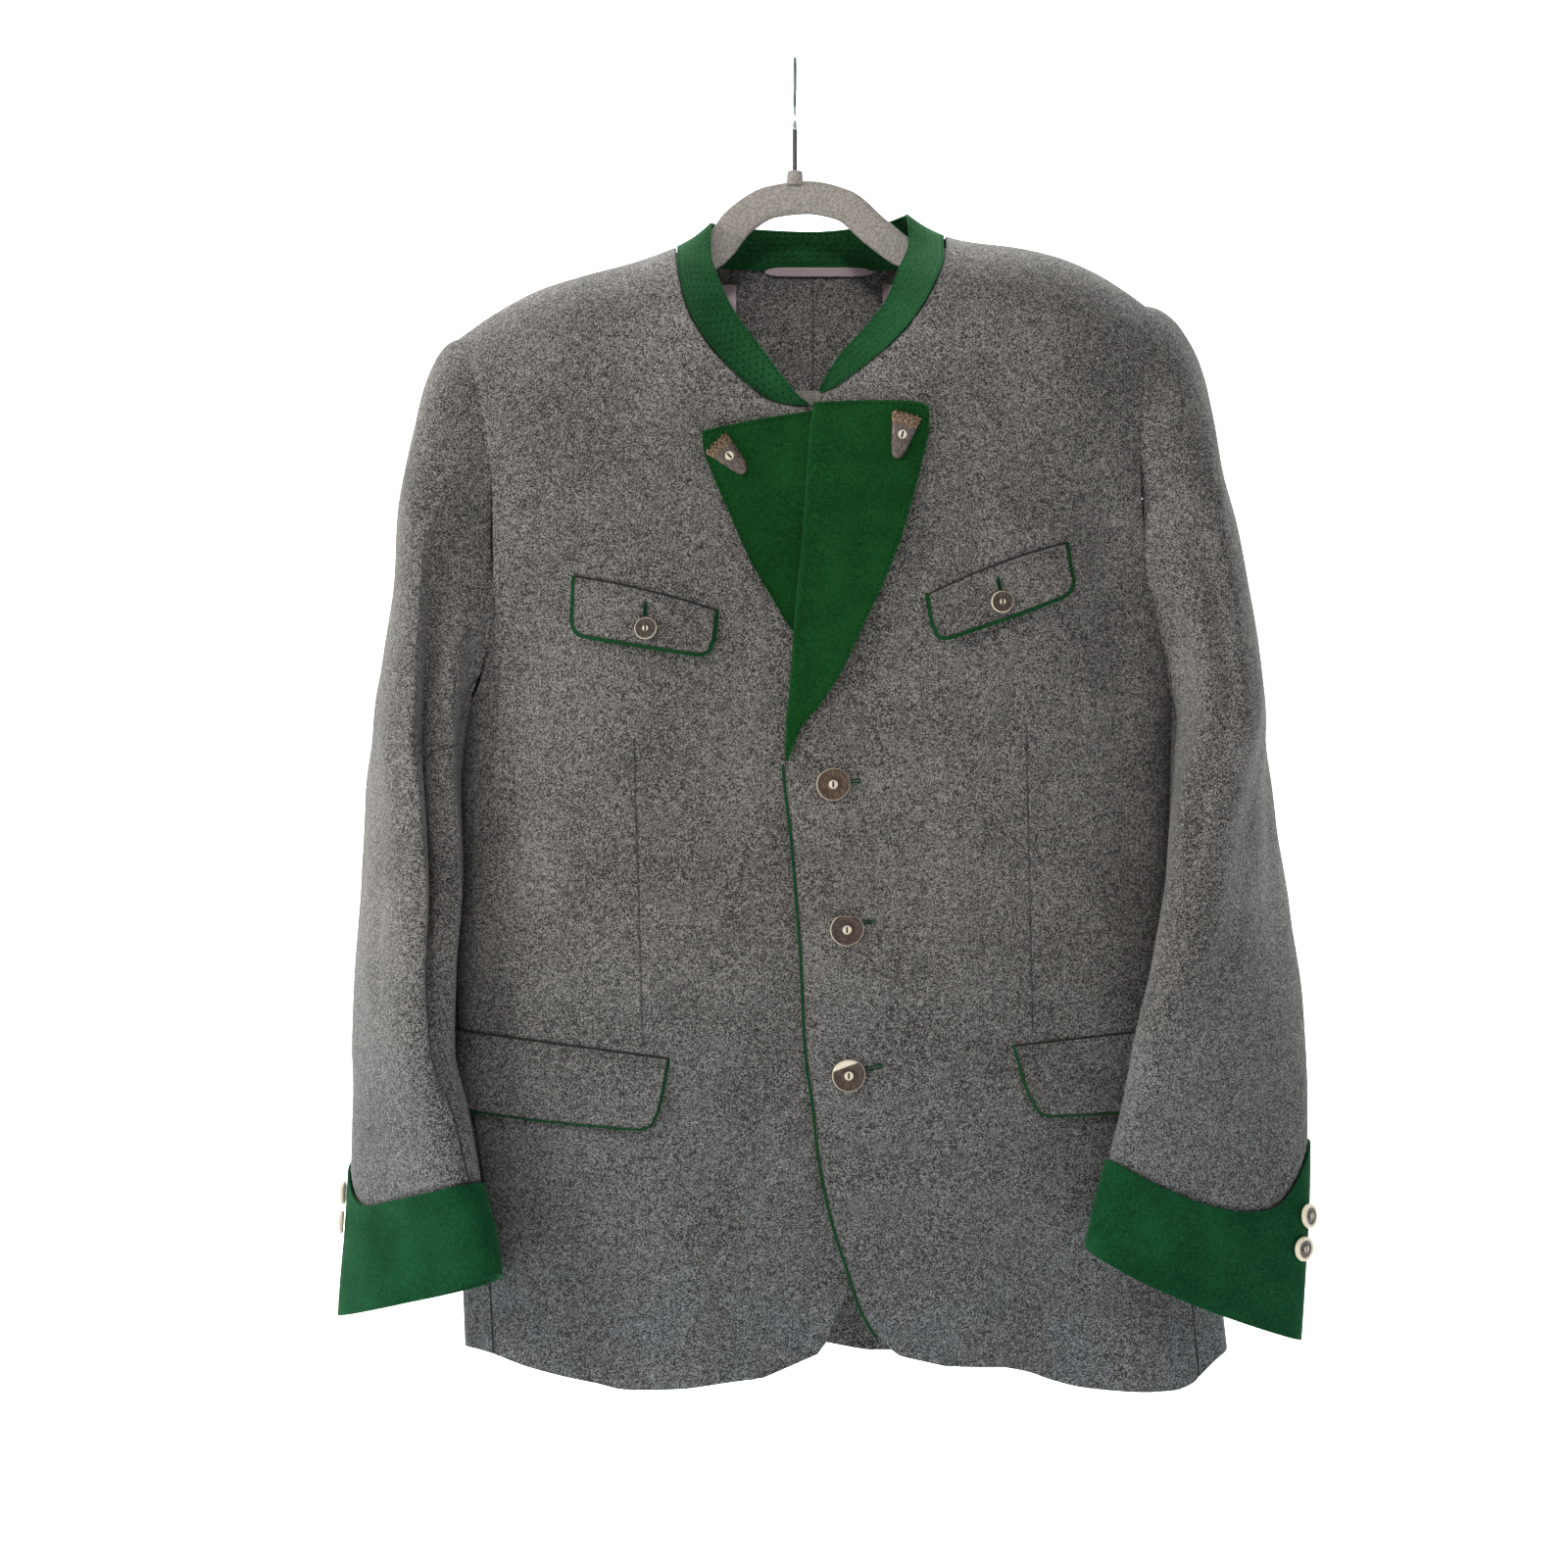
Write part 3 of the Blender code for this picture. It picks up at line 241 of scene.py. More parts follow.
# The collar: foot on the neckline and upper edge, from the right end round the back to the left end
COLLAR = chart(
    "share foot_x foot_y foot_z top_x top_y top_z",
    (0, 6, -57, -248.5, 9.5, -55.5, -246.5),
    (50, -13, -58, -246, 1.5, -55, -240),
    (100, -28, -58.5, -237, -12.5, -53, -222),
    (150, -44, -58.5, -223, -26, -49, -203.5),
    (200, -60, -57, -204, -40, -42, -184),
    (260, -73, -52, -180, -51, -33, -160),
    (320, -80, -32, -148, -57, -19, -137),
    (370, -80.5, -2, -133, -57, -2, -116),
    (400, -74, 22, -135, -51, 16, -114),
    (430, -52, 38, -136, -37, 31, -113),
    (500, 12, 46.5, -136, 12, 40.5, -113.5),
    (570, 76, 41, -136, 57, 32, -110.5),
    (600, 95, 23, -131, 70, 16, -109.5),
    (630, 101, -2, -125, 76, -2, -110),
    (680, 101, -34, -143, 77, -19, -131),
    (740, 93, -53, -167, 70, -33, -152),
    (800, 77, -59, -193, 61, -43, -175),
    (850, 59, -61, -212, 48, -50, -193),
    (910, 36, -62, -230, 28, -57, -216),
    (960, 28, -62, -236, 19, -60, -231),
    (1000, 18, -63, -241, 15.5, -62, -238.5),
)
# Outer edge of the lapels
LAPEL = {
    RIGHT: chart(
        "z roll edge",
        (-424, 17, 13), (-402, 17, 1), (-392, 17, -6), (-375, 16.5, -16),
        (-349, 16, -31), (-319, 15, -44), (-292, 13, -55.5), (-275, 12, -61), (-252, 10, -61),
    ),
    LEFT: chart(
        "z roll edge",
        (-484, -6.5, -5), (-475, -6, -1.5), (-461, -4, 4.5), (-446, -2, 17), (-422, 0, 32),
        (-394, 2, 45), (-362, 5, 60), (-329, 8, 72), (-292, 10.5, 82), (-262, 13, 88),
        (-246, 15, 88),
    ),
}
LAPEL_TOP = {
    RIGHT: chart("x z", (-61, -266), (-44, -262), (-20, -257), (10, -252)),
    LEFT: chart("x z", (15, -247), (39, -246), (64, -246), (82, -247.5), (88, -250)),
}
# Flaps: corners, top inner, top outer, bottom outer, bottom inner; bow of the top line; corner round
FLAPS = {
    ("chest", RIGHT): dict(
        top=(-52.5, -383, -145.5, -360.6), bottom=(-55.5, -414, -146, -399), bow=2.5, corner=7
    ),
    ("chest", LEFT): dict(top=(88, -373, 179, -338.5), bottom=(92.5, -404.5, 182.5, -371.5), bow=4, corner=7),
    ("hip", RIGHT): dict(
        top=(-84.5, -680.5, -230.2, -664), bottom=(-92.5, -728, -229, -713), bow=4, corner=7
    ),
    ("hip", LEFT): dict(top=(145.5, -672, 264, -661), bottom=(158, -719, 264, -715), bow=2, corner=8),
}
PIPING_WIDTH = {"chest": 0.0022, "hip": 0.0014}
# Hanger: the top arm from the right end over the neck to the left end, and the bar below
HANGER_ARM = chart(
    "x z width",
    (-200, -196, 20), (-188, -186.5, 22), (-150, -170, 22), (-110, -159, 21.5), (-82, -149, 21.5),
    (-55, -135, 22), (-38, -114, 22.5), (-16, -101, 22.5), (9, -98, 23), (33, -103, 22.5),
    (55, -121, 22), (76, -136, 21), (110, -145, 22), (150, -152, 22), (190, -163, 22),
    (216, -177, 22), (226, -186, 20),
)
HANGER_BAR_Z = -0.2355
HANGER_BAR_WIDTH = 0.011


# --- folds ----------------------------------------------------------------------------------------

# Soft ridges (depth above 0) and troughs on the front: place across, depth and half width by height
FRONT_FOLDS = folds(
    "z x depth width",
    ((-910, -182, 3.8, 20), (-850, -180, 3.2, 22), (-790, -178, 2.0, 24), (-710, -172, 0, 24)),
    ((-910, -126, -4.0, 22), (-840, -124, -3.6, 24), (-770, -122, -2.0, 24), (-700, -118, 0, 24)),
    ((-910, -66, 2.2, 21), (-850, -62, 1.4, 22), (-775, -56, 0, 22)),
    (
        (-640, -192, 0, 14), (-560, -188, -2.4, 15), (-430, -180, -2.8, 13), (-330, -170, -1.4, 13),
        (-260, -160, 0, 12),
    ),
    ((-600, -128, 0, 24), (-480, -120, 1.3, 26), (-400, -105, 1.4, 26), (-290, -80, 0, 22)),
    ((-910, 122, 2.4, 18), (-850, 120, 1.8, 20), (-770, 116, 0, 20)),
    ((-910, 172, -3.2, 20), (-850, 170, -2.4, 22), (-760, 166, -0.8, 24), (-700, 160, 0, 24)),
    ((-910, 232, 4.0, 20), (-850, 230, 3.0, 22), (-780, 226, 1.6, 22), (-700, 220, 0, 22)),
    (
        (-640, 224, 0, 14), (-540, 222, -2.6, 15), (-420, 214, -3.0, 14), (-310, 204, -1.6, 13),
        (-240, 196, 0, 12),
    ),
    ((-560, 150, 0, 26), (-440, 158, 1.5, 26), (-340, 150, 1.2, 24), (-240, 120, 0, 22)),
    ((-700, 74, 0, 16), (-640, 82, -1.0, 18), (-560, 84, -1.2, 20), (-490, 70, 0, 20)),
    ((-740, -44, 0, 20), (-640, -36, 1.0, 22), (-540, -30, 0.8, 20), (-470, -26, 0, 20)),
)
BACK_FOLDS = folds(
    "z x depth width",
    ((-910, -164, 3.0, 22), (-800, -156, 1.8, 24), (-700, -146, 0, 24)),
    ((-910, -104, -2.8, 20), (-810, -98, -1.6, 22), (-730, -92, 0, 22)),
    ((-910, 118, -2.6, 20), (-820, 112, -1.6, 22), (-720, 108, 0, 22)),
    ((-910, 196, 3.4, 22), (-800, 188, 2.0, 24), (-690, 180, 0, 24)),
    ((-620, -186, 0, 16), (-500, -178, -2.6, 17), (-360, -164, -2.0, 15), (-250, -150, 0, 14)),
    ((-620, 214, 0, 16), (-500, 206, -2.8, 17), (-360, 192, -2.2, 15), (-240, 176, 0, 14)),
    ((-600, 20, 0, 30), (-420, 14, 1.6, 34), (-260, 10, 0, 30)),
)
# The same round the sleeves, with places as angles round the section
SLEEVE_FOLDS = {
    RIGHT: folds(
        "z at_deg depth width_deg",
        ((-660, 212, 0, 8), (-560, 211, 2.4, 9), (-420, 209, 2.6, 9), (-320, 205, 1.6, 9), (-250, 200, 0, 9)),
        ((-700, 120, 0, 9), (-600, 112, -1.6, 10), (-500, 104, -1.2, 11), (-420, 98, 0, 11)),
        ((-560, 136, 0, 9), (-480, 128, 1.2, 10), (-400, 120, 0, 10)),
        ((-640, 60, 0, 10), (-540, 66, -1.8, 11), (-440, 74, 0, 10)),
        (
            (-760, 284, 0, 22), (-640, 276, 4.5, 26), (-540, 272, 7.0, 30), (-480, 270, 8.0, 30),
            (-420, 268, 2.0, 26),
        ),
        ((-760, 150, 0, 9), (-700, 146, 1.0, 9), (-620, 146, 0, 9)),
    ),
    LEFT: folds(
        "z at_deg depth width_deg",
        ((-540, 196, 0, 8), (-440, 200, 2.2, 9), (-330, 204, 2.6, 9), (-240, 204, 0, 9)),
        (
            (-620, 168, 0, 10), (-500, 172, -4.6, 12), (-360, 176, -5.6, 12), (-250, 178, -3.0, 11),
            (-215, 178, 0, 10),
        ),
        ((-740, 120, 0, 9), (-640, 118, -1.5, 9), (-520, 112, -1.6, 10), (-400, 104, 0, 10)),
        ((-700, 138, 0, 8), (-600, 138, 1.4, 8), (-480, 134, 1.2, 9), (-380, 128, 0, 9)),
        ((-660, 72, 0, 10), (-540, 78, -2.0, 11), (-420, 84, 0, 10)),
        (
            (-760, 284, 0, 22), (-660, 276, 5.5, 26), (-560, 272, 7.5, 30), (-480, 270, 9.0, 30),
            (-410, 268, 2.0, 26),
        ),
        ((-770, 156, 0, 10), (-690, 158, 1.4, 10), (-600, 160, 0, 10)),
    ),
}


def fold_across(table, column, width, at, z):
    away = (at - read(table, column, z)) / read(table, width, z)
    return read(table, "depth", z) * np.exp(-away ** 2)


def body_folds(turn, z):
    """How far the hanging cloth of the body stands off its even form."""
    half, middle = half_and_middle(z)
    x = middle + half * np.sin(turn)
    facing = np.cos(turn)
    front = ease(0.10, 0.34, facing) * sum(fold_across(table, "x", "width", x, z) for table in FRONT_FOLDS)
    back = ease(0.10, 0.34, -facing) * sum(fold_across(table, "x", "width", x, z) for table in BACK_FOLDS)
    low = ease(-0.560, -0.900, z)
    side = (1 - ease(0.10, 0.34, np.abs(facing))) * low * 0.0030 * np.sin(9 * turn + 1.3)
    slack = 0.0005 * np.sin(41 * x + 13 * z) * np.sin(23 * z - 17 * x + 0.7)
    return (FOLD_STRENGTH * (front + back) + side + slack) * ease(0.004, 0.060, shoulder_line(x) - z)


def sleeve_folds(side, around, z):
    degrees = np.mod(around, 2 * math.pi)
    folds = sum(fold_across(table, "at_deg", "width_deg", degrees, z) for table in SLEEVE_FOLDS[side])
    slack = 0.0005 * np.sin(3 * degrees + 31 * z) * np.sin(47 * z + 2 * degrees)
    return (folds + slack) * ease(-0.775, -0.730, z) * ease(-0.190, -0.260, z)


# --- surfaces -------------------------------------------------------------------------------------

def shoulder_line(x):
    return read(SHOULDER, "z", x, by="x")


def half_and_middle(z):
    right = read(BODY, "right", z)
    left = read(BODY, "left", z)
    return (left - right) / 2, (left + right) / 2


def body_skin(turn, z):
    """Middle of the body cloth: turn is 0 at centre front, a right angle at the wearer's left side."""
    half, middle = half_and_middle(z)
    x = middle + half * np.sin(turn)
    facing = np.cos(turn)
    depth = np.where(facing > 0, read(BODY, "front", z), read(BODY, "back", z))
    swell = (1 - np.clip(np.abs(np.sin(turn)), 0, 1) ** ROUNDNESS) ** (1 / ROUNDNESS)
    below = np.clip((shoulder_line(x) - z) / SHOULDER_ROLL, 0, 1)
    roll = np.sqrt(np.clip(1 - (1 - below) ** 2, 0, 1))
    y = -np.sign(facing) * depth * swell * roll
    return np.stack([x, y, z + 0 * x], axis=-1)


def outward(skin, a, b, step_a, step_b):
    """Unit normals of a surface, from its slopes along both of its parameters."""
    along = skin(a + step_a, b) - skin(a - step_a, b)
    up = skin(a, b + step_b) - skin(a, b - step_b)
    normal = np.cross(along, up)
    return normal / np.maximum(np.linalg.norm(normal, axis=-1, keepdims=True), 1e-12)


def body(turn, z, out=0.0):
    turn = np.asarray(turn, float)
    normal = outward(body_skin, turn, z, 0.01, 0.0015)
    return body_skin(turn, z) + normal * (np.asarray(out) + body_folds(turn, z))[..., None]


def turn_at(x, z, back=False):
    half, middle = half_and_middle(z)
    turn = np.arcsin(np.clip((x - middle) / half, -0.9999, 0.9999))
    return np.where(turn >= 0, math.pi - turn, -math.pi - turn) if back else turn


def underlap(x, z, side):
    """The right front sinks below the left front where they lap."""
    if side == LEFT:
        return 0.0 * x
    edge = read(EDGE_LEFT, "x", z)
    return -UNDERLAP_DEPTH * ease(edge - 0.120, edge, x)


def on_front(x, z, out=0.0, side=LEFT):
    return body(turn_at(x, z), z, out + underlap(x, z, side))


def armhole(side, round_):
    """Turn and height on the body of the armhole loop."""
    table = ARMHOLE[side]
    round_ = np.mod(round_, 2 * math.pi)
    return side * read(table, "turn_deg", round_, by="round_deg"), read(table, "z", round_, by="round_deg")


def armhole_turn(side, z, back):
    """Size of the turn at which the armhole cuts the front or the back at this height."""
    table = ARMHOLE[side]
    half = table["turn_deg"] > math.pi / 2 if back else table["turn_deg"] < math.pi / 2
    return smooth(z, table["z"][half], table["turn_deg"][half])


def tube_skin(side, around, z):
    """A sleeve's section: around is 0 at the back end, a right angle on the outer face, then the front."""
    table = SLEEVE[side]
    x, y, long_, short, lean = (read(table, name, z) for name in ("x", "y", "long", "short", "lean_deg"))
    along = long_ * np.cos(around)
    swell = (1 - np.clip(np.abs(np.cos(around)), 0, 1) ** SLEEVE_ROUNDNESS) ** (1 / SLEEVE_ROUNDNESS)
    across = short * swell * np.sign(np.sin(around))
    return np.stack(
        [
            x + side * (along * np.cos(lean) + across * np.sin(lean)),
            y + along * np.sin(lean) - across * np.cos(lean),
            z + 0 * along,
        ],
        axis=-1,
    )


def cuff_rim(side, around):
    inner, outer = CUFF_RIM[side]
    return inner + (outer - inner) * ((1 + np.cos(around)) / 2) ** 0.75


def sleeve_skin(side, around, down):
    """A sleeve from the armhole, down = 0, through the level rows at 1, to the rim of the cuff at 2."""
    turn, start_z = armhole(side, around - math.pi / 2)
    under = (1 - np.sin(around)) / 2
    start = body_skin(turn, start_z)
    clear = SLEEVE_RIM_STEP * ease(0.75, 1.0, under) - SLEEVE_RIM_REACH
    start = start + np.stack([side * clear, 0 * clear, 0 * clear], axis=-1)
    cap = np.clip(down, 0, 1) ** 1.5
    z = np.where(
        down <= 1,
        start_z + (SLEEVE_JOIN - start_z) * cap,
        SLEEVE_JOIN + (cuff_rim(side, around) - SLEEVE_JOIN) * np.clip(down - 1, 0, 1),
    )
    reach = 0.075 - 0.040 * under
    gone = np.clip((start_z - z) / reach, 0, 1)
    blend = np.sqrt(np.clip(1 - (1 - gone) ** 2, 0, 1))[..., None]
    tube = tube_skin(side, around, z)
    point = start * (1 - blend) + tube * blend
    point[..., 2] = z
    return point


def front_fold(side, around, z):
    """Depth of the right sleeve's front fold: a groove, steep on its outer bank."""
    if side == LEFT:
        return 0.0 * around
    degrees = np.degrees(np.mod(around, 2 * math.pi))
    degrees = degrees - np.degrees(read(FRONT_FOLD, "drift_deg", z))
    groove = ease(167, 172.5, degrees) * (1 - ease(178, 212, degrees))
    return -read(FRONT_FOLD, "depth", z) * groove


def sleeve(side, around, down, out=0.0):
    def skin(a, b):
        return sleeve_skin(side, a, b)

    base = skin(around, down)
    normal = outward(skin, around, np.clip(down, 0.02, 1.99), 0.01, 0.01) * side
    z = base[..., 2]
    return base + normal * (out + front_fold(side, around, z) + sleeve_folds(side, around, z))[..., None]


def tube(side, around, z, out=0.0):
    def skin(a, b):
        return tube_skin(side, a, b)

    normal = outward(skin, around, z, 0.01, 0.001) * -side
    return skin(around, z) + normal * np.asarray(out)[..., None]


# --- making pieces --------------------------------------------------------------------------------


def keep(obj, slot, *nodes):
    """Puts a finished piece on the jacket, in place of the solids it stands for."""
    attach(obj, "root")
    if nodes:
        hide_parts(*nodes)
    return obj


def add_object(name, mesh_data, look, slot, nodes=(), soft_edge=0.0, sharp=40):
    bmesh.ops.recalc_face_normals(mesh_data, faces=mesh_data.faces[:])
    if mesh_data.calc_volume(signed=True) < 0:
        bmesh.ops.reverse_faces(mesh_data, faces=mesh_data.faces[:])
    mesh = bpy.data.meshes.new(f"{name}_shown")
    mesh_data.to_mesh(mesh)
    mesh_data.free()
    mesh.materials.append(look)
    mesh.shade_smooth()
    mesh.set_sharp_from_angle(angle=math.radians(sharp))
    obj = bpy.data.objects.new(f"{name}_shown", mesh)
    bpy.context.scene.collection.objects.link(obj)
    if soft_edge:
        bevel = obj.modifiers.new("soft edge", "BEVEL")
        bevel.width = soft_edge
        bevel.segments = 2
        bevel.limit_method = "ANGLE"
        bevel.angle_limit = math.radians(50)
        bevel.harden_normals = True
    return keep(obj, slot, *nodes)


def steps_between(points, axis):
    """Length walked along the rows or the columns of a grid of points, from its first edge."""
    lengths = np.linalg.norm(np.diff(points, axis=axis), axis=-1)
    walked = np.cumsum(lengths, axis=axis)
    first = np.zeros_like(np.take(walked, [0], axis=axis))
    return np.concatenate([first, walked], axis=axis)


def wall(name, columns, rows, place, thickness, look, slot, closed=False, soft_edge=0.0005, nodes=None):
    """A wall of cloth. place(u, v, out) gives the point at out metres off the cloth's middle.

    Its UV map is the cloth's own width and length in metres, and "edge" the way to its nearest edge.
    """
    u_grid, v_grid = np.meshgrid(np.linspace(0, 1, columns + 1), np.linspace(0, 1, rows + 1))
    flat_u, flat_v = u_grid.ravel(), v_grid.ravel()

    def placed(out):
        return place(flat_u, flat_v, np.full(len(flat_u), out)).reshape(rows + 1, columns + 1, 3)

    middle = placed(0.0)
    across, down = steps_between(middle, 1), steps_between(middle, 0)
    edge = np.minimum(down, down[-1:] - down)
    if not closed:
        edge = np.minimum(edge, np.minimum(across, across[:, -1:] - across))

    cloth = bmesh.new()
    bmesh.ops.create_grid(cloth, x_segments=columns, y_segments=rows, size=1)
    column = cloth.verts.layers.int.new("column")
    row = cloth.verts.layers.int.new("row")
    edge_layer = cloth.verts.layers.float.new("edge")
    uv = cloth.loops.layers.uv.new("cloth")
    for vert in cloth.verts:
        i, j = round((vert.co.x + 1) / 2 * columns), round((vert.co.y + 1) / 2 * rows)
        vert[column], vert[row] = i, j
        vert[edge_layer] = edge[j, i]
        vert.co = middle[j, i]
    for face in cloth.faces:
        for corner in face.loops:
            i, j = corner.vert[column], corner.vert[row]
            corner[uv].uv = (across[j, i], down[j, i])
    if closed:
        bmesh.ops.remove_doubles(cloth, verts=cloth.verts[:], dist=1e-6)
    made = bmesh.ops.extrude_face_region(cloth, geom=cloth.faces[:])["geom"]
    outer = {item for item in made if isinstance(item, bmesh.types.BMVert)}
    inside, outside = placed(-thickness / 2), placed(thickness / 2)
    for vert in cloth.verts:
        side = outside if vert in outer else inside
        vert.co = side[vert[row], vert[column]]
    if nodes is None:
        nodes = (name,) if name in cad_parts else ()
    return add_object(name, cloth, look, slot, nodes, soft_edge)


# --- shading helpers ------------------------------------------------------------------------------

def add(tree, kind, inputs=None, **settings):
    """A node with its settings and its inputs: an input is a socket to link or a constant."""
    node = tree.nodes.new(kind)
    for name, value in settings.items():
        setattr(node, name, value)
    for name, value in (inputs or {}).items():
        if isinstance(value, bpy.types.NodeSocket):
            tree.links.new(value, node.inputs[name])
        else:
            node.inputs[name].default_value = value
    return node


def maths(tree, operation, a, b=0.0, c=0.0, clamp=False):
    return add(tree, "ShaderNodeMath", {0: a, 1: b, 2: c}, operation=operation, use_clamp=clamp).outputs[0]


def plus(tree, a, b):
    return maths(tree, "ADD", a, b)


def minus(tree, a, b):
    return maths(tree, "SUBTRACT", a, b)


def times(tree, a, b, clamp=False):
    return maths(tree, "MULTIPLY", a, b, clamp=clamp)


def vector(tree, operation, a, b=(0, 0, 0), output=0):
    return add(tree, "ShaderNodeVectorMath", {0: a, 1: b}, operation=operation).outputs[output]


def between(tree, value, low, high, to_low=0.0, to_high=1.0):
    """A soft step of a value from one range to another."""
    inputs = {"Value": value, "From Min": low, "From Max": high, "To Min": to_low, "To Max": to_high}
    return add(tree, "ShaderNodeMapRange", inputs, interpolation_type="SMOOTHSTEP").outputs[0]


def noise(tree, coordinates, scale, detail=2.0, roughness=0.5):
    inputs = {"Vector": coordinates, "Scale": scale, "Detail": detail, "Roughness": roughness}
    return add(tree, "ShaderNodeTexNoise", inputs).outputs["Fac"]


def mix(tree, factor, first, second):
    return add(tree, "ShaderNodeMix", {0: factor, 6: first, 7: second}, data_type="RGBA").outputs[2]


def rgb(red, green, blue):
    return (red, green, blue, 1.0)


def object_place(tree):
    return add(tree, "ShaderNodeTexCoord").outputs["Object"]


def cloth_place(tree):
    return add(tree, "ShaderNodeUVMap", uv_map="cloth").outputs["UV"]


def edge_way(tree):
    return add(tree, "ShaderNodeAttribute", attribute_name="edge").outputs["Fac"]


def effect(name, inputs, outputs):
    """A named node group; returns it with its inputs and outputs to link."""
    tree = bpy.data.node_groups.new(name, "ShaderNodeTree")
    kinds = {float: "NodeSocketFloat", tuple: "NodeSocketColor", list: "NodeSocketVector"}
    for title, value in inputs.items():
        socket = tree.interface.new_socket(title, in_out="INPUT", socket_type=kinds[type(value)])
        socket.default_value = value
    for title, kind in outputs.items():
        tree.interface.new_socket(title, in_out="OUTPUT", socket_type="NodeSocket" + kind)
    return tree, tree.nodes.new("NodeGroupInput").outputs, tree.nodes.new("NodeGroupOutput").inputs


def use(tree, group, inputs):
    """One of the effects, in a material."""
    node = tree.nodes.new("ShaderNodeGroup")
    node.node_tree = group
    for name, value in inputs.items():
        if isinstance(value, bpy.types.NodeSocket):
            tree.links.new(value, node.inputs[name])
        else:
            node.inputs[name].default_value = value
    return node.outputs


def new_look(name, constants):
    """A material, its tree and its shader with constant settings."""
    look = bpy.data.materials.new(name)
    look.use_nodes = True
    tree = look.node_tree
    shader = tree.nodes["Principled BSDF"]
    for title, value in constants.items():
        shader.inputs[title].default_value = value
    return look, tree, shader


def shade(tree, shader, colour=None, roughness=None, height=None, depth=0.0003, strength=1.0):
    if colour is not None:
        tree.links.new(colour, shader.inputs["Base Color"])
    if roughness is not None:
        tree.links.new(roughness, shader.inputs["Roughness"])
    if height is not None:
        bump = add(tree, "ShaderNodeBump", {"Height": height, "Distance": depth, "Strength": strength})
        tree.links.new(bump.outputs[0], shader.inputs["Normal"])


# --- effects --------------------------------------------------------------------------------------

def make_wool():
    """Fulled wool of mixed fibres: flecks of about 1 mm, soft patches and wide clouds."""
    tree, given, made = effect(
        "mixed wool",
        {
            "Place": [0.0, 0.0, 0.0], "Dark": rgb(0.011, 0.010, 0.010), "Middle": rgb(0.062, 0.0585, 0.0525),
            "Light": rgb(0.31, 0.295, 0.275), "Contrast": 1.85,
        },
        {"Colour": "Color", "Height": "Float", "Cloud": "Float"},
    )
    place = given["Place"]
    fleck = noise(tree, place, 1050.0, 2.0, 0.7)
    fibre = noise(tree, place, 2100.0, 1.0, 0.6)
    tuft = add(tree, "ShaderNodeTexVoronoi", {"Vector": place, "Scale": 1050.0, "Randomness": 1.0})
    tuft_shade = add(tree, "ShaderNodeSeparateColor", {"Color": tuft.outputs["Color"]}).outputs[0]
    patch = noise(tree, place, 230.0, 2.0, 0.6)
    cloud = noise(tree, place, 17.0, 2.0, 0.5)
    total = maths(tree, "MULTIPLY_ADD", minus(tree, fleck, 0.5), 1.9, 0.5)
    for layer, share in ((fibre, 0.9), (tuft_shade, 0.30), (patch, 0.40), (cloud, 0.25)):
        total = plus(tree, total, times(tree, minus(tree, layer, 0.5), share))
    spread = maths(tree, "MULTIPLY_ADD", minus(tree, total, 0.5), given["Contrast"], 0.5, True)
    darker = mix(tree, times(tree, spread, 2.0, clamp=True), given["Dark"], given["Middle"])
    upper = maths(tree, "MULTIPLY_ADD", spread, 2.0, -1.0, True)
    tree.links.new(mix(tree, upper, darker, given["Light"]), made["Colour"])
    tree.links.new(plus(tree, fleck, times(tree, fibre, 0.6)), made["Height"])
    tree.links.new(cloud, made["Cloud"])
    return tree


def make_felt():
    """Green felt: a short matted nap, a little uneven in shade."""
    tree, given, made = effect(
        "matted nap",
        {"Place": [0.0, 0.0, 0.0], "Colour": rgb(0.0014, 0.028, 0.0038), "Worn": rgb(0.0058, 0.060, 0.0115)},
        {"Colour": "Color", "Height": "Float"},
    )
    place = given["Place"]
    nap = noise(tree, place, 1300.0, 2.0, 0.6)
    lump = noise(tree, place, 640.0, 3.0, 0.6)
    cloud = noise(tree, place, 38.0, 2.0, 0.5)
    wear = plus(tree, times(tree, lump, 0.40), times(tree, cloud, 0.20))
    wear = plus(tree, wear, times(tree, nap, 0.40))
    wear = between(tree, wear, 0.42, 0.59)
    tree.links.new(mix(tree, wear, given["Colour"], given["Worn"]), made["Colour"])
    tree.links.new(plus(tree, times(tree, nap, 0.5), lump), made["Height"])
    return tree


def make_line():
    """Mask of a straight line on a surface, as a seam shows."""
    tree, given, made = effect(
        "seam line",
        {"Place": [0.0, 0.0, 0.0], "From": [0.0, 0.0, 0.0], "To": [0.0, 0.0, 1.0], "Half width": 0.0006},
        {"Mask": "Float"},
    )
    flat = vector(tree, "MULTIPLY", vector(tree, "SUBTRACT", given["Place"], given["From"]), (1, 0, 1))
    run = vector(tree, "SUBTRACT", given["To"], given["From"])
    reach = vector(tree, "DOT_PRODUCT", flat, run, output=1)
    size = vector(tree, "DOT_PRODUCT", run, run, output=1)
    share = maths(tree, "DIVIDE", reach, size, clamp=True)
    scaled = add(tree, "ShaderNodeVectorMath", {0: run, "Scale": share}, operation="SCALE").outputs[0]
    away = vector(tree, "LENGTH", vector(tree, "SUBTRACT", flat, scaled), output=1)
    wide = times(tree, given["Half width"], 2.0)
    tree.links.new(between(tree, away, given["Half width"], wide, 1.0, 0.0), made["Mask"])
    return tree


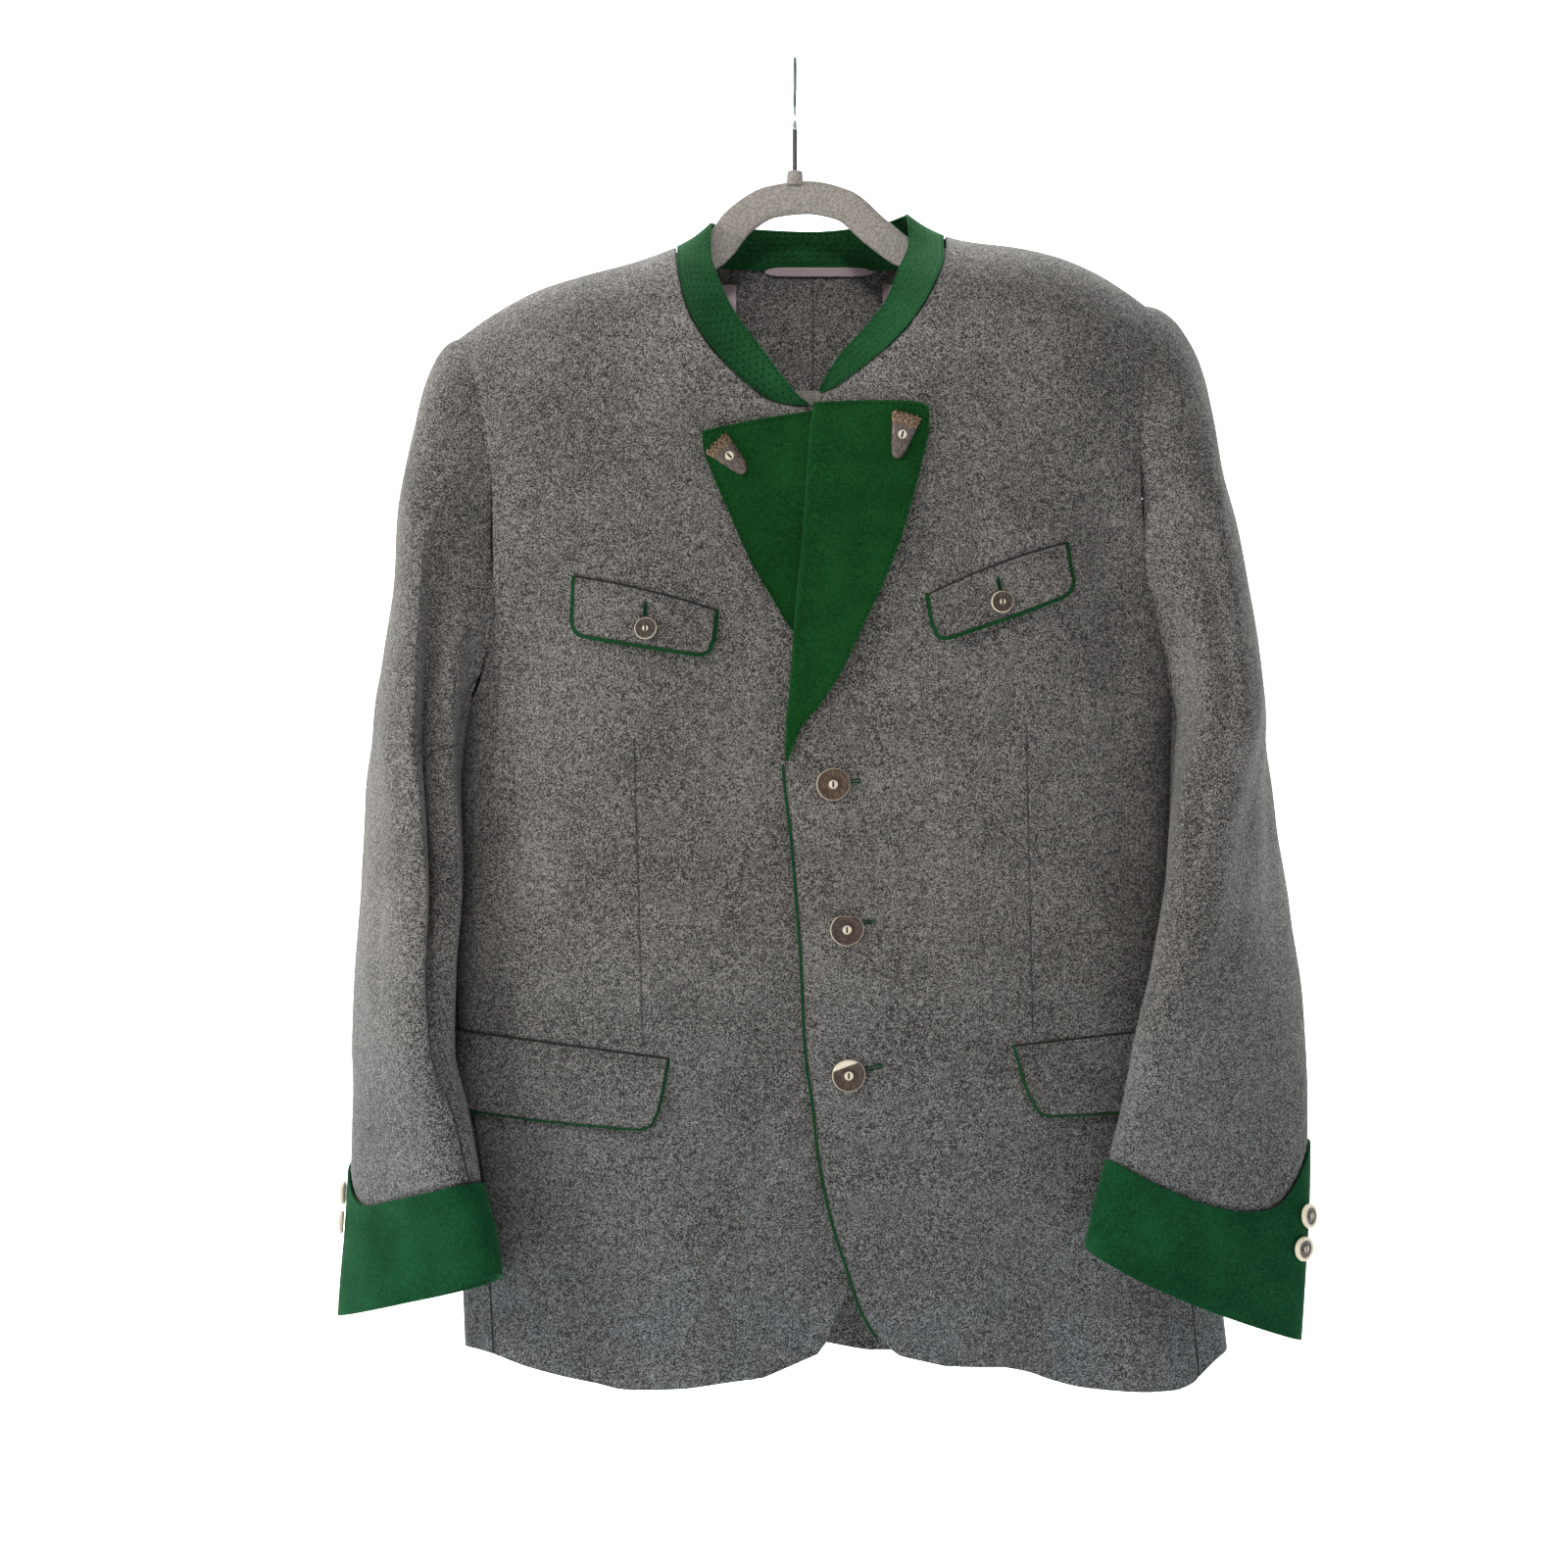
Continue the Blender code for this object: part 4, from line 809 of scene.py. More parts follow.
def make_stitches():
    """Mask of a row of stitches: Along runs with the row, Away is the distance from it."""
    tree, given, made = effect(
        "stitch row",
        {"Along": 0.0, "Away": 0.0, "Pitch": 0.0045, "Share": 0.55, "Half width": 0.0004},
        {"Mask": "Float"},
    )
    phase = maths(tree, "FRACT", maths(tree, "DIVIDE", given["Along"], given["Pitch"]))
    on = maths(tree, "LESS_THAN", phase, given["Share"])
    wide = times(tree, given["Half width"], 1.8)
    away = maths(tree, "ABSOLUTE", given["Away"])
    near = between(tree, away, given["Half width"], wide, 1.0, 0.0)
    tree.links.new(times(tree, on, near), made["Mask"])
    return tree


def make_grain():
    """Antler: brown grain with pale streaks, in the button's own plane."""
    tree, given, made = effect(
        "antler grain",
        {
            "Place": [0.0, 0.0, 0.0], "Brown": rgb(0.16, 0.085, 0.045), "Pale": rgb(0.40, 0.30, 0.20),
            "Turn": 0.0,
        },
        {"Colour": "Color", "Height": "Float"},
    )
    spin = {"Vector": given["Place"], "Angle": given["Turn"]}
    turned = add(tree, "ShaderNodeVectorRotate", spin, rotation_type="Z_AXIS").outputs[0]
    long = vector(tree, "MULTIPLY", turned, (1.0, 4.5, 1.0))
    streak = noise(tree, long, 210.0, 4.0, 0.7)
    pores = noise(tree, vector(tree, "MULTIPLY", turned, (1.0, 3.0, 1.0)), 900.0, 2.0, 0.6)
    grain = plus(tree, times(tree, streak, 0.75), times(tree, pores, 0.25))
    grain = between(tree, grain, 0.44, 0.58)
    tree.links.new(mix(tree, grain, given["Brown"], given["Pale"]), made["Colour"])
    tree.links.new(grain, made["Height"])
    return tree


WOOL = make_wool()
FELT = make_felt()
LINE = make_line()
STITCHES = make_stitches()
GRAIN = make_grain()


# --- materials ------------------------------------------------------------------------------------

def loden_look(name, lines=(), painted_seam_shadow=False):
    """Grey loden, with painted cool light near the hems and painted shade at its cut edges; lines are seams
    and darts as (x, z, x, z) in millimetres.
    """
    look, tree, shader = new_look(
        name,
        {"Roughness": 0.95, "Specular IOR Level": 0.12, "Sheen Weight": 0.22, "Sheen Roughness": 0.55,
         "Sheen Tint": rgb(0.72, 0.74, 0.72)},
    )
    place = object_place(tree)
    wool = use(tree, WOOL, {"Place": place})
    colour = wool["Colour"]
    height = wool["Height"]
    parts = add(tree, "ShaderNodeSeparateXYZ", {0: place}).outputs
    # Painted cool light: towards the hems the loden turns darker and bluer in random patches, standing in for
    # the cool low light there.
    low = between(tree, parts[2], -0.560, -0.880, 0.0, 0.72)
    painted_cool_light_share = times(tree, low, between(tree, wool["Cloud"], 0.30, 0.66, 0.45, 1.0))
    painted_cool_light_tint = vector(tree, "MULTIPLY", colour, (0.60, 0.76, 0.90))
    colour = mix(tree, painted_cool_light_share, colour, painted_cool_light_tint)
    for x1, z1, x2, z2 in lines:
        ends = {"From": (x1 * MM, 0, z1 * MM), "To": (x2 * MM, 0, z2 * MM)}
        mask = use(tree, LINE, {"Place": place, "Half width": 0.00050, **ends})["Mask"]
        colour = mix(tree, times(tree, mask, 0.60), colour, rgb(0.012, 0.012, 0.013))
        height = minus(tree, height, times(tree, mask, 1.6))
    if painted_seam_shadow:
        # Painted shadow: a near-black band over the flap's top 1 to 2 mm, for the shade in the welt where the
        # flap tucks under the front.
        rows = add(tree, "ShaderNodeSeparateXYZ", {0: cloth_place(tree)}).outputs
        mask = between(tree, rows[1], 0.0011, 0.0019, 1.0, 0.0)
        colour = mix(tree, times(tree, mask, 0.93), colour, rgb(0.008, 0.009, 0.009))
    # Painted shade: within about a millimetre of every cut edge the cloth darkens to near black, for the
    # shade under hems, flap edges and the lapped front edge.
    rim = between(tree, edge_way(tree), 0.0002, 0.0012, 0.72, 0.0)
    colour = mix(tree, rim, colour, rgb(0.010, 0.010, 0.010))
    shade(tree, shader, colour, height=height, depth=0.0007, strength=0.55)
    return look


def felt_look(name, colour=(0.0014, 0.028, 0.0038), worn=(0.0058, 0.060, 0.0115), stitches=None):
    """Green felt. stitches(tree) may give a mask of thread rows pressed into it."""
    look, tree, shader = new_look(
        name,
        {"Roughness": 0.92, "Specular IOR Level": 0.10, "Sheen Weight": 0.13, "Sheen Roughness": 0.45,
         "Sheen Tint": rgb(0.22, 0.60, 0.32)},
    )
    felt = use(tree, FELT, {"Place": object_place(tree), "Colour": rgb(*colour), "Worn": rgb(*worn)})
    tint, height = felt["Colour"], felt["Height"]
    if stitches:
        mask = stitches(tree)
        tint = mix(tree, times(tree, mask, 0.88), tint, rgb(0.001, 0.016, 0.004))
        height = minus(tree, height, times(tree, mask, 1.8))
    shade(tree, shader, tint, height=height, depth=0.0005, strength=0.55)
    return look


def edge_row(tree, inset=0.0022, pitch=0.0050):
    """A fine row of hand stitches a little inside the edge."""
    parts = add(tree, "ShaderNodeSeparateXYZ", {0: cloth_place(tree)}).outputs
    along = plus(tree, parts[0], parts[1])
    away = minus(tree, edge_way(tree), inset)
    return use(tree, STITCHES, {"Along": along, "Away": away, "Pitch": pitch, "Half width": 0.00035})["Mask"]


def pad_rows(tree):
    """Rows of small pad stitches over the collar, with a row just inside its edge."""
    parts = add(tree, "ShaderNodeSeparateXYZ", {0: cloth_place(tree)}).outputs
    rank = maths(tree, "DIVIDE", parts[1], 0.0042)
    line = maths(tree, "FLOOR", rank)
    away = times(tree, minus(tree, maths(tree, "FRACT", rank), 0.5), 0.0042)
    along = plus(tree, parts[0], times(tree, line, 0.0027))
    dots = use(
        tree, STITCHES, {"Along": along, "Away": away, "Pitch": 0.0058, "Share": 0.30, "Half width": 0.00060}
    )["Mask"]
    inside = between(tree, edge_way(tree), 0.0030, 0.0040)
    dots = times(tree, times(tree, dots, inside), 0.8)
    return maths(tree, "MAXIMUM", dots, edge_row(tree, 0.0019, 0.0040))


def lining_look():
    look, tree, shader = new_look(
        "mauve lining", {"Roughness": 0.42, "Sheen Weight": 0.2, "Specular IOR Level": 0.4}
    )
    weave = noise(tree, object_place(tree), 900.0)
    tint = mix(tree, weave, rgb(0.33, 0.245, 0.260), rgb(0.47, 0.370, 0.390))
    shade(tree, shader, tint, height=weave, depth=0.0002, strength=0.3)
    return look


def flock_look():
    look, tree, shader = new_look(
        "flocking",
        {"Roughness": 0.95, "Specular IOR Level": 0.1, "Sheen Weight": 0.35, "Sheen Roughness": 0.4},
    )
    fuzz = between(tree, noise(tree, object_place(tree), 620.0, 4.0, 0.75), 0.34, 0.66)
    tint = mix(tree, fuzz, rgb(0.155, 0.143, 0.129), rgb(0.310, 0.285, 0.262))
    shade(tree, shader, tint, height=fuzz, depth=0.0003, strength=0.4)
    return look


def wire_look():
    look, tree, shader = new_look("hook wire", {"Metallic": 0.85, "Roughness": 0.35})
    parts = add(tree, "ShaderNodeSeparateXYZ", {0: object_place(tree)}).outputs
    turns = maths(tree, "SINE", times(tree, parts[2], 2 * math.pi / 0.0011))
    threaded = between(tree, parts[2], -0.0500, -0.0515)
    shade(
        tree, shader, mix(tree, threaded, rgb(0.20, 0.245, 0.25), rgb(0.14, 0.15, 0.15)),
        height=times(tree, turns, threaded), depth=0.0002,
    )
    return look


def horn_look(name, turn, rim, brown, pale, cream_side=None):
    """An antler button: grain on a brown face, a pale rim, and a pale sewn boss with a slot, its hollow in
    painted shade.

    Its UV map holds the place on the face in metres. cream_side gives the way (x, y) to a pale
    crescent and how far from the middle it starts, as a share of the radius.
    """
    look, tree, shader = new_look(name, {"Roughness": 0.42, "Coat Weight": 0.12, "Coat Roughness": 0.25})
    face = cloth_place(tree)
    grain = use(
        tree, GRAIN, {"Place": face, "Turn": math.radians(turn), "Brown": rgb(*brown), "Pale": rgb(*pale)}
    )
    cream = rgb(0.76, 0.68, 0.53)
    radius = add(tree, "ShaderNodeAttribute", attribute_name="radius").outputs["Fac"]
    colour = mix(tree, between(tree, radius, rim * 2 - 0.05, rim * 2 + 0.03), grain["Colour"], cream)
    if cream_side:
        way_x, way_y, start = cream_side
        reach = vector(tree, "DOT_PRODUCT", face, (way_x, way_y, 0), output=1)
        colour = mix(tree, between(tree, reach, start - 0.0004, start + 0.0004), colour, cream)
    boss = between(tree, radius, 0.24, 0.29, 1.0, 0.0)
    colour = mix(tree, boss, colour, rgb(0.72, 0.64, 0.50))
    parts = add(tree, "ShaderNodeSeparateXYZ", {0: face}).outputs
    # Painted shade: the slot in the boss is a near-black mark with a dip in the bump, for its shaded hollow.
    slim = between(tree, maths(tree, "ABSOLUTE", parts[0]), 0.00055, 0.00085, 1.0, 0.0)
    short = between(tree, maths(tree, "ABSOLUTE", parts[1]), 0.0018, 0.0022, 1.0, 0.0)
    slot_shade_mask = times(tree, slim, short)
    colour = mix(tree, slot_shade_mask, colour, rgb(0.02, 0.015, 0.010))
    height = minus(tree, grain["Height"], times(tree, slot_shade_mask, 3.0))
    shade(tree, shader, colour, height=height, depth=0.0003, strength=0.6)
    return look


def tip_look():
    """Antler tips: grey-brown grain, and a rough russet burr at the broad end."""
    look, tree, shader = new_look(
        "antler tip", {"Roughness": 0.5, "Coat Weight": 0.15, "Coat Roughness": 0.3}
    )
    face = cloth_place(tree)
    colours = {"Brown": rgb(0.030, 0.022, 0.018), "Pale": rgb(0.17, 0.13, 0.105)}
    grain = use(tree, GRAIN, {"Place": face, "Turn": math.radians(90), **colours})
    parts = add(tree, "ShaderNodeSeparateXYZ", {0: face}).outputs
    fray = noise(tree, face, 700.0, 3.0, 0.7)
    high = plus(tree, parts[1], times(tree, minus(tree, fray, 0.5), 0.008))
    burr = between(tree, high, 0.0055, 0.0095)
    rough = mix(tree, between(tree, fray, 0.42, 0.60), rgb(0.022, 0.010, 0.006), rgb(0.33, 0.20, 0.10))
    colour = mix(tree, burr, grain["Colour"], rough)
    middle = vector(tree, "LENGTH", vector(tree, "SUBTRACT", face, (0, 0.001, 0)), output=1)
    colour = mix(tree, between(tree, middle, 0.0026, 0.0031, 1.0, 0.0), colour, rgb(0.72, 0.66, 0.54))
    # Painted shade: a near-black slot in the middle of the pale boss, for its shaded hollow.
    slim = between(tree, maths(tree, "ABSOLUTE", parts[0]), 0.0006, 0.0009, 1.0, 0.0)
    near = between(tree, middle, 0.0020, 0.0024, 1.0, 0.0)
    colour = mix(tree, times(tree, slim, near), colour, rgb(0.02, 0.014, 0.010))
    rise = times(tree, burr, times(tree, fray, 4.0))
    height = plus(tree, grain["Height"], rise)
    shade(tree, shader, colour, height=height, depth=0.0004, strength=0.8)
    return look


DART_RIGHT = (-106.5, -470, -101, -673)
DART_LEFT = (153, -460, 158, -664)
LODEN_FRONT = {
    RIGHT: loden_look("loden right front", (DART_RIGHT,)),
    LEFT: loden_look("loden left front", (DART_LEFT,)),
}
LODEN_PLAIN = loden_look("loden")
LODEN_FLAP = loden_look("loden flaps", painted_seam_shadow=True)
GREEN_FELT = felt_look("green felt", (0.0012, 0.030, 0.0090), (0.0060, 0.066, 0.0230))
GREEN_COLLAR = felt_look("green felt collar", (0.0050, 0.042, 0.0115), (0.0135, 0.078, 0.0270), pad_rows)
GREEN_LAPEL = felt_look("green felt lapels", stitches=edge_row)
GREEN_PIPING = felt_look("green piping", (0.0030, 0.034, 0.009), (0.006, 0.054, 0.016))
GREEN_THREAD = felt_look("green thread", (0.002, 0.022, 0.007), (0.006, 0.056, 0.018))
MAUVE_LINING = lining_look()
FLOCKING = flock_look()
HOOK_WIRE = wire_look()
ANTLER_TIP = tip_look()


# --- body panels ----------------------------------------------------------------------------------

def row_height(v, low, corner, high):
    """Heights of a panel's rows: half below the armhole's corner, then up to the throat, the shoulder
    and round the shoulder's roll."""
    roll = high - SHOULDER_ROLL
    throat = np.minimum(THROAT, roll - 0.008)
    lower = low + (corner - low) * np.clip(v * 2, 0, 1)
    chest = (throat - corner) * np.clip(v * 6 - 3, 0, 1)
    upper = (roll - throat) * np.clip(v * 6 - 4, 0, 1)
    bend = np.clip(v * 6 - 5, 0, 1) * math.pi / 2
    return lower + chest + upper + (high - roll) * np.sin(bend)


def panel_point(u, v, inner, outer, corner, bottom, top):
    """Solves a panel's grid: u from the inner to the outer edge, v from the hem to the top."""
    u = np.sin(1.2 * u) / math.sin(1.2)
    x = inner(-0.5 + 0 * u) * (1 - u) + outer(-0.5 + 0 * u) * u
    for _ in range(16):
        z = row_height(v, bottom(x), corner, top(x))
        x = 0.4 * x + 0.6 * (inner(z) * (1 - u) + outer(z) * u)
    return x, row_height(v, bottom(x), corner, top(x))


def front_outer(side):
    def outer(z):
        seam = read(SIDE_SEAMS, "front_deg", z)
        hole = armhole_turn(side, z, back=False)
        half, middle = half_and_middle(z)
        turn = np.where(z > armhole_corner(side, back=False), hole, seam)
        return middle + side * half * np.sin(turn - SEAM_TURN)
    return outer


def armhole_corner(side, back):
    """Height at which a side seam runs into the armhole."""
    heights = np.linspace(-0.46, -0.40, 61)
    seam = read(SIDE_SEAMS, "back_deg" if back else "front_deg", heights)
    hole = armhole_turn(side, heights, back)
    reached = hole >= seam if back else hole <= seam
    return heights[np.argmax(reached)]


def make_front(side):
    edge = EDGE_LEFT if side == LEFT else EDGE_RIGHT

    def place(u, v, out):
        x, z = panel_point(
            u, v,
            lambda z: read(edge, "x", z),
            front_outer(side),
            armhole_corner(side, back=False),
            lambda x: read(HEM_FRONT, "z", x, by="x"),
            shoulder_line,
        )
        point = on_front(x, z, out, side)
        point[..., 1] -= SHOULDER_GAP / 2
        return point

    return wall(f"front_{SIDE_NAMES[side]}", 72, 132, place, LODEN, LODEN_FRONT[side], "loden")


def back_top(x):
    at_neck = (x > NECK_BACK["x"][0]) & (x < NECK_BACK["x"][-1])
    return np.where(at_neck, read(NECK_BACK, "z", x, by="x"), shoulder_line(x))


def vent(z):
    return ease(VENT_TOP + 0.006, VENT_TOP - 0.010, z)


def make_back(side):
    def inner(z):
        _, middle = half_and_middle(z)
        lap = VENT_UNDERLAP * vent(z) if side == RIGHT else 0.0
        return middle - side * SEAM_GAP / 2 + lap

    def outer(z):
        seam = read(SIDE_SEAMS, "back_deg", z)
        hole = armhole_turn(side, z, back=True)
        half, middle = half_and_middle(z)
        turn = np.where(z > armhole_corner(side, back=True), hole, seam)
        return middle + side * half * np.sin(turn + SEAM_TURN)

    def place(u, v, out):
        corner = armhole_corner(side, back=True)
        x, z = panel_point(u, v, inner, outer, corner, lambda x: read(HEM_BACK, "z", x, by="x"), back_top)
        _, middle = half_and_middle(z)
        if side == RIGHT:
            sunk = ease(middle - 0.050, middle - 0.004, x) * ease(VENT_TOP + 0.080, VENT_TOP + 0.040, z)
            out = out - 0.0028 * sunk
        point = body(turn_at(x, z, back=True), z, out)
        point[..., 1] += SHOULDER_GAP / 2
        return point

    return wall(f"back_{SIDE_NAMES[side]}", 60, 132, place, LODEN, LODEN_PLAIN, "loden")


def make_side(side):
    def place(u, v, out):
        z = -0.6 + 0 * u
        for _ in range(8):
            front = read(SIDE_SEAMS, "front_deg", z) + SEAM_TURN
            back = read(SIDE_SEAMS, "back_deg", z) - SEAM_TURN
            turn = front + (back - front) * u
            half, middle = half_and_middle(z)
            x = middle + side * half * np.sin(turn)
            hem = np.where(
                turn < math.pi / 2, read(HEM_FRONT, "z", x, by="x"), read(HEM_BACK, "z", x, by="x")
            )
            table = ARMHOLE[side]
            top = smooth(turn, table["turn_deg"][7:13], table["z"][7:13]) - SEAM_GAP
            z = hem + (top - hem) * v
        return body(side * turn, z, out)

    return wall(f"side_{SIDE_NAMES[side]}", 42, 66, place, LODEN, LODEN_PLAIN, "loden")


# --- sleeves and cuffs ----------------------------------------------------------------------------

def make_sleeve(side):
    def place_between(u, v, out, first, last, gap):
        down = np.where(v < 0.4, v / 0.4, 1 + (v - 0.4) / 0.6)
        share = down / 2
        start = first(share) + gap
        end = last(share) - gap
        around = start + (end - start) * u
        rim = 0.003 * ease(0.95, 1.0, v)
        base = sleeve_skin(side, around, np.minimum(down, 1.995))
        inside_cuff = ease(0.003, -0.004, base[..., 2] - cuff_top(side, around))
        point = sleeve(side, around, np.minimum(down, 1.995), out - 0.0034 * inside_cuff)
        point[..., 2] += rim
        return point

    def back_seam(share):
        return read(SLEEVE_SEAMS[side], "back_deg", share, by="share")

    def front_seam(share):
        return read(SLEEVE_SEAMS[side], "front_deg", share, by="share")

    name = SIDE_NAMES[side]
    gap = SLEEVE_SEAM_TURN
    top = wall(
        f"sleeve_top_{name}", 110, 120,
        lambda u, v, out: place_between(u, v, out, back_seam, front_seam, gap),
        LODEN, LODEN_PLAIN, "loden",
    )
    under = wall(
        f"sleeve_under_{name}", 54, 120,
        lambda u, v, out: place_between(
            u, v, out, front_seam, lambda share: back_seam(share) + 2 * math.pi, gap
        ),
        LODEN, LODEN_PLAIN, "loden",
    )
    return top, under


def cuff_top(side, around):
    return read(CUFF_TOP[side], "z", (1 + np.cos(around)) / 2, by="share")


def make_cuff(side):
    def place(u, v, out):
        around = 2 * math.pi * u
        top = cuff_top(side, around)
        z = top + (cuff_rim(side, around) - top) * v
        wave = CUFF_WAVE * np.sin(5 * around + 0.6) * ease(0.3, 1.0, v)
        return tube(side, around, z, out + CUFF_CLEARANCE + wave)

    return wall(
        f"cuff_{SIDE_NAMES[side]}", 180, 24, place, GREEN_CLOTH, GREEN_FELT, "green_cloth", closed=True
    )


# --- collar, lapels, flaps and trims --------------------------------------------------------------

def collar_skin(along, up):
    foot = np.stack([read(COLLAR, f"foot_{axis}", along, by="share") for axis in "xyz"], axis=-1)
    top = np.stack([read(COLLAR, f"top_{axis}", along, by="share") for axis in "xyz"], axis=-1)
    lean = (top - foot) / np.linalg.norm(top - foot, axis=-1, keepdims=True)
    at_back = ease(0.36, 0.44, along) * ease(0.66, 0.58, along)
    foot = foot + lean * (0.0008 - 0.0050 * at_back)[..., None]
    return foot + (top - foot) * up[..., None]


def make_collar():
    def place(u, v, out):
        normal = outward(collar_skin, np.clip(u, 0.01, 0.99), v, 0.008, 0.05)
        swell = COLLAR_SWELL * np.sin(math.pi * v)
        return collar_skin(u, v) + normal * (out + swell)[..., None]

    return wall("collar", 260, 10, place, GREEN_CLOTH, GREEN_COLLAR, "green_cloth")


def make_lapel(side):
    """A lapel turned back on its front. It rolls round the front's edge, from inside to outside."""
    table = LAPEL[side]
    tip = table["z"].min()
    turned = LAPEL_ROLL_SHARE

    def place(u, v, out):
        flat_u = np.clip((u - turned) / (1 - turned), 0, 1)
        z = -0.35 + 0 * u
        for _ in range(12):
            x = read(table, "roll", z) * (1 - flat_u) + read(table, "edge", z) * flat_u
            top = read(LAPEL_TOP[side], "z", x, by="x")
            z = tip + (top - tip) * v
        size = np.abs(read(table, "edge", z) - read(table, "roll", z))
        bend = math.pi * np.clip(u / turned, 0, 1)
        rolling = u < turned
        radius = (LAYER + out) * ease(0.0, 0.012, size)
        x = np.where(rolling, x - side * 0.75 * radius * np.sin(bend), x)
        curl = LAPEL_CURL * flat_u ** 2 * ease(0.0, 0.040, size)
        lift = np.where(rolling, -(LAYER + out) * np.cos(bend), LAYER + out + curl)
        return on_front(x, z, lift, side)

    return wall(f"lapel_{SIDE_NAMES[side]}", 72, 84, place, GREEN_CLOTH, GREEN_LAPEL, "green_cloth")


def flap_point(kind, side, u, v):
    """Place on the front of a flap: u from its inner to its outer end, v from its top to its free edge."""
    flap = FLAPS[kind, side]
    inner_x, inner_z, outer_x, outer_z = (value * MM for value in flap["top"])
    low_inner_x, low_inner_z, low_outer_x, low_outer_z = (value * MM for value in flap["bottom"])
    bow = flap["bow"] * MM * 4 * u * (1 - u) * (1 - v)
    size = flap["corner"] * MM * 1.25
    way = np.minimum(u, 1 - u) * abs(outer_x - inner_x)
    corner = size * (1 - np.sqrt(1 - (1 - np.clip(way / size, 0, 1)) ** 2)) * v ** 4
    z = (inner_z + (outer_z - inner_z) * u) * (1 - v) + (low_inner_z + (low_outer_z - low_inner_z) * u) * v
    z = z + bow + corner
    half, middle = half_and_middle(z)
    inner_turn = turn_at(inner_x * (1 - v) + low_inner_x * v, z)
    outer_turn = turn_at(outer_x * (1 - v) + low_outer_x * v, z)
    return middle + half * np.sin(inner_turn * (1 - u) + outer_turn * u), z


def flap_lift(u, v):
    """A flap leaves the front at its seam and stands off it at its free edge."""
    rise = LAYER * (0.42 + 0.58 * ease(0.0, 0.16, v))
    return rise + FLAP_STAND * v ** 1.5 + FLAP_WAVE * v * np.sin(9 * u + 1)


def make_flap(kind, side):
    name = SIDE_NAMES[side]

    def place(u, v, out):
        x, z = flap_point(kind, side, u, v)
        return on_front(x, z, out + flap_lift(u, v), side)

    def edge_point(share):
        """Round the flap's free edge: down the inner end, along the bottom and up the outer end."""
        share = np.clip(share, 0, 1)
        down, across, up = share * 5, share * 5 / 3 - 1 / 3, share * 5 - 4
        first, last = share <= 0.2, share >= 0.8
        flap_u = np.where(first, 0, np.where(last, 1, across))
        flap_v = np.where(first, down, np.where(last, 1 - up, 1))
        return flap_u, flap_v

    def edge_ways(share):
        """Unit steps off the flap, square to its edge."""
        before_x, before_z = flap_point(kind, side, *edge_point(share - 0.006))
        after_x, after_z = flap_point(kind, side, *edge_point(share + 0.006))
        run_x, run_z = after_x - before_x, after_z - before_z
        size = np.maximum(np.hypot(run_x, run_z), 1e-9)
        return side * run_z / size, -side * run_x / size

    def piping(u, v, out):
        flap_u, flap_v = edge_point(u)
        x, z = flap_point(kind, side, flap_u, flap_v)
        away_x, away_z = edge_ways(u)
        reach = -PIPING_UNDER + (PIPING_WIDTH[kind] + 0.0008) * v
        lift = flap_lift(flap_u, flap_v) - 0.0006 * v
        return on_front(x + away_x * reach, z + away_z * reach, out + lift, side)

    flap = wall(f"flap_{kind}_{name}", 96, 32, place, LODEN, LODEN_FLAP, "loden")
    edging = wall(
        f"piping_{kind}_{name}", 150, 4, piping, PIPING_THICKNESS, GREEN_PIPING, "green_piping",
        soft_edge=0.0004,
    )
    return flap, edging


def make_edge_piping():
    """Green edging along the left front's edge, from the lapel to the rounded corner."""
    def place(u, v, out):
        z = EDGE_PIPING_TOP + (EDGE_PIPING_LOW - EDGE_PIPING_TOP) * u
        x = read(EDGE_LEFT, "x", z)
        slope = (read(EDGE_LEFT, "x", z + 0.002) - read(EDGE_LEFT, "x", z - 0.002)) / 0.004
        size = np.hypot(1, slope)
        reach = 0.0002 + EDGE_PIPING_WIDTH * v
        return on_front(x - reach / size, z + reach * slope / size, out)

    return wall("edge_piping", 200, 3, place, LODEN, GREEN_PIPING, "green_piping", soft_edge=0.0006)


def make_inside_neck():
    def tape(u, v, out):
        point_in = 1 - 0.7 * (2 * u - 1) ** 8
        x = -0.021 + 0.076 * u
        z = -0.1390 - 0.0060 * (0.5 + (v - 0.5) * point_in)
        point = body(turn_at(x, z, back=True), z, out - 0.0045)
        point[..., 2] += 0.0035
        return point

    made = [wall("hanging_tape", 60, 6, tape, LINING, MAUVE_LINING, "lining", soft_edge=0.0002)]
    for side, near, far, low in ((RIGHT, -0.0415, -0.066, -0.184), (LEFT, 0.062, 0.086, -0.174)):
        def lining(u, v, out, near=near, far=far, low=low):
            x = near + (far - near) * u
            z = -0.1470 + (low + 0.1470) * v
            crumple = 0.0016 * np.sin(9 * u + 5 * v) * np.sin(3 * math.pi * v + 2 * u)
            return body(turn_at(x, z, back=True), z, out - 0.0062 + crumple)

        made.append(
            wall(
                f"lining_{SIDE_NAMES[side]}", 24, 32, lining, LINING, MAUVE_LINING, "lining",
                soft_edge=0.0002,
            )
        )
    return made


def make_buttonhole(name, side, x, z, half_length, half_width, tilt, out):
    """A worked buttonhole: a slim mound of green thread on the cloth."""
    def place(u, v, off):
        along = 2 * u - 1
        across = (2 * v - 1) * np.sqrt(np.clip(1 - along ** 4, 0.02, 1))
        along, across = along * half_length, across * half_width
        px = x + along * math.cos(tilt) - across * math.sin(tilt)
        pz = z + along * math.sin(tilt) + across * math.cos(tilt)
        slit = 0.0007 * ease(0.0, half_width * 0.6, np.abs(across))
        return on_front(px, pz, off + out - 0.0004 + slit, side)

    return wall(name, 30, 10, place, THREAD, GREEN_THREAD, "green_piping", soft_edge=0.0001)


# --- buttons --------------------------------------------------------------------------------------

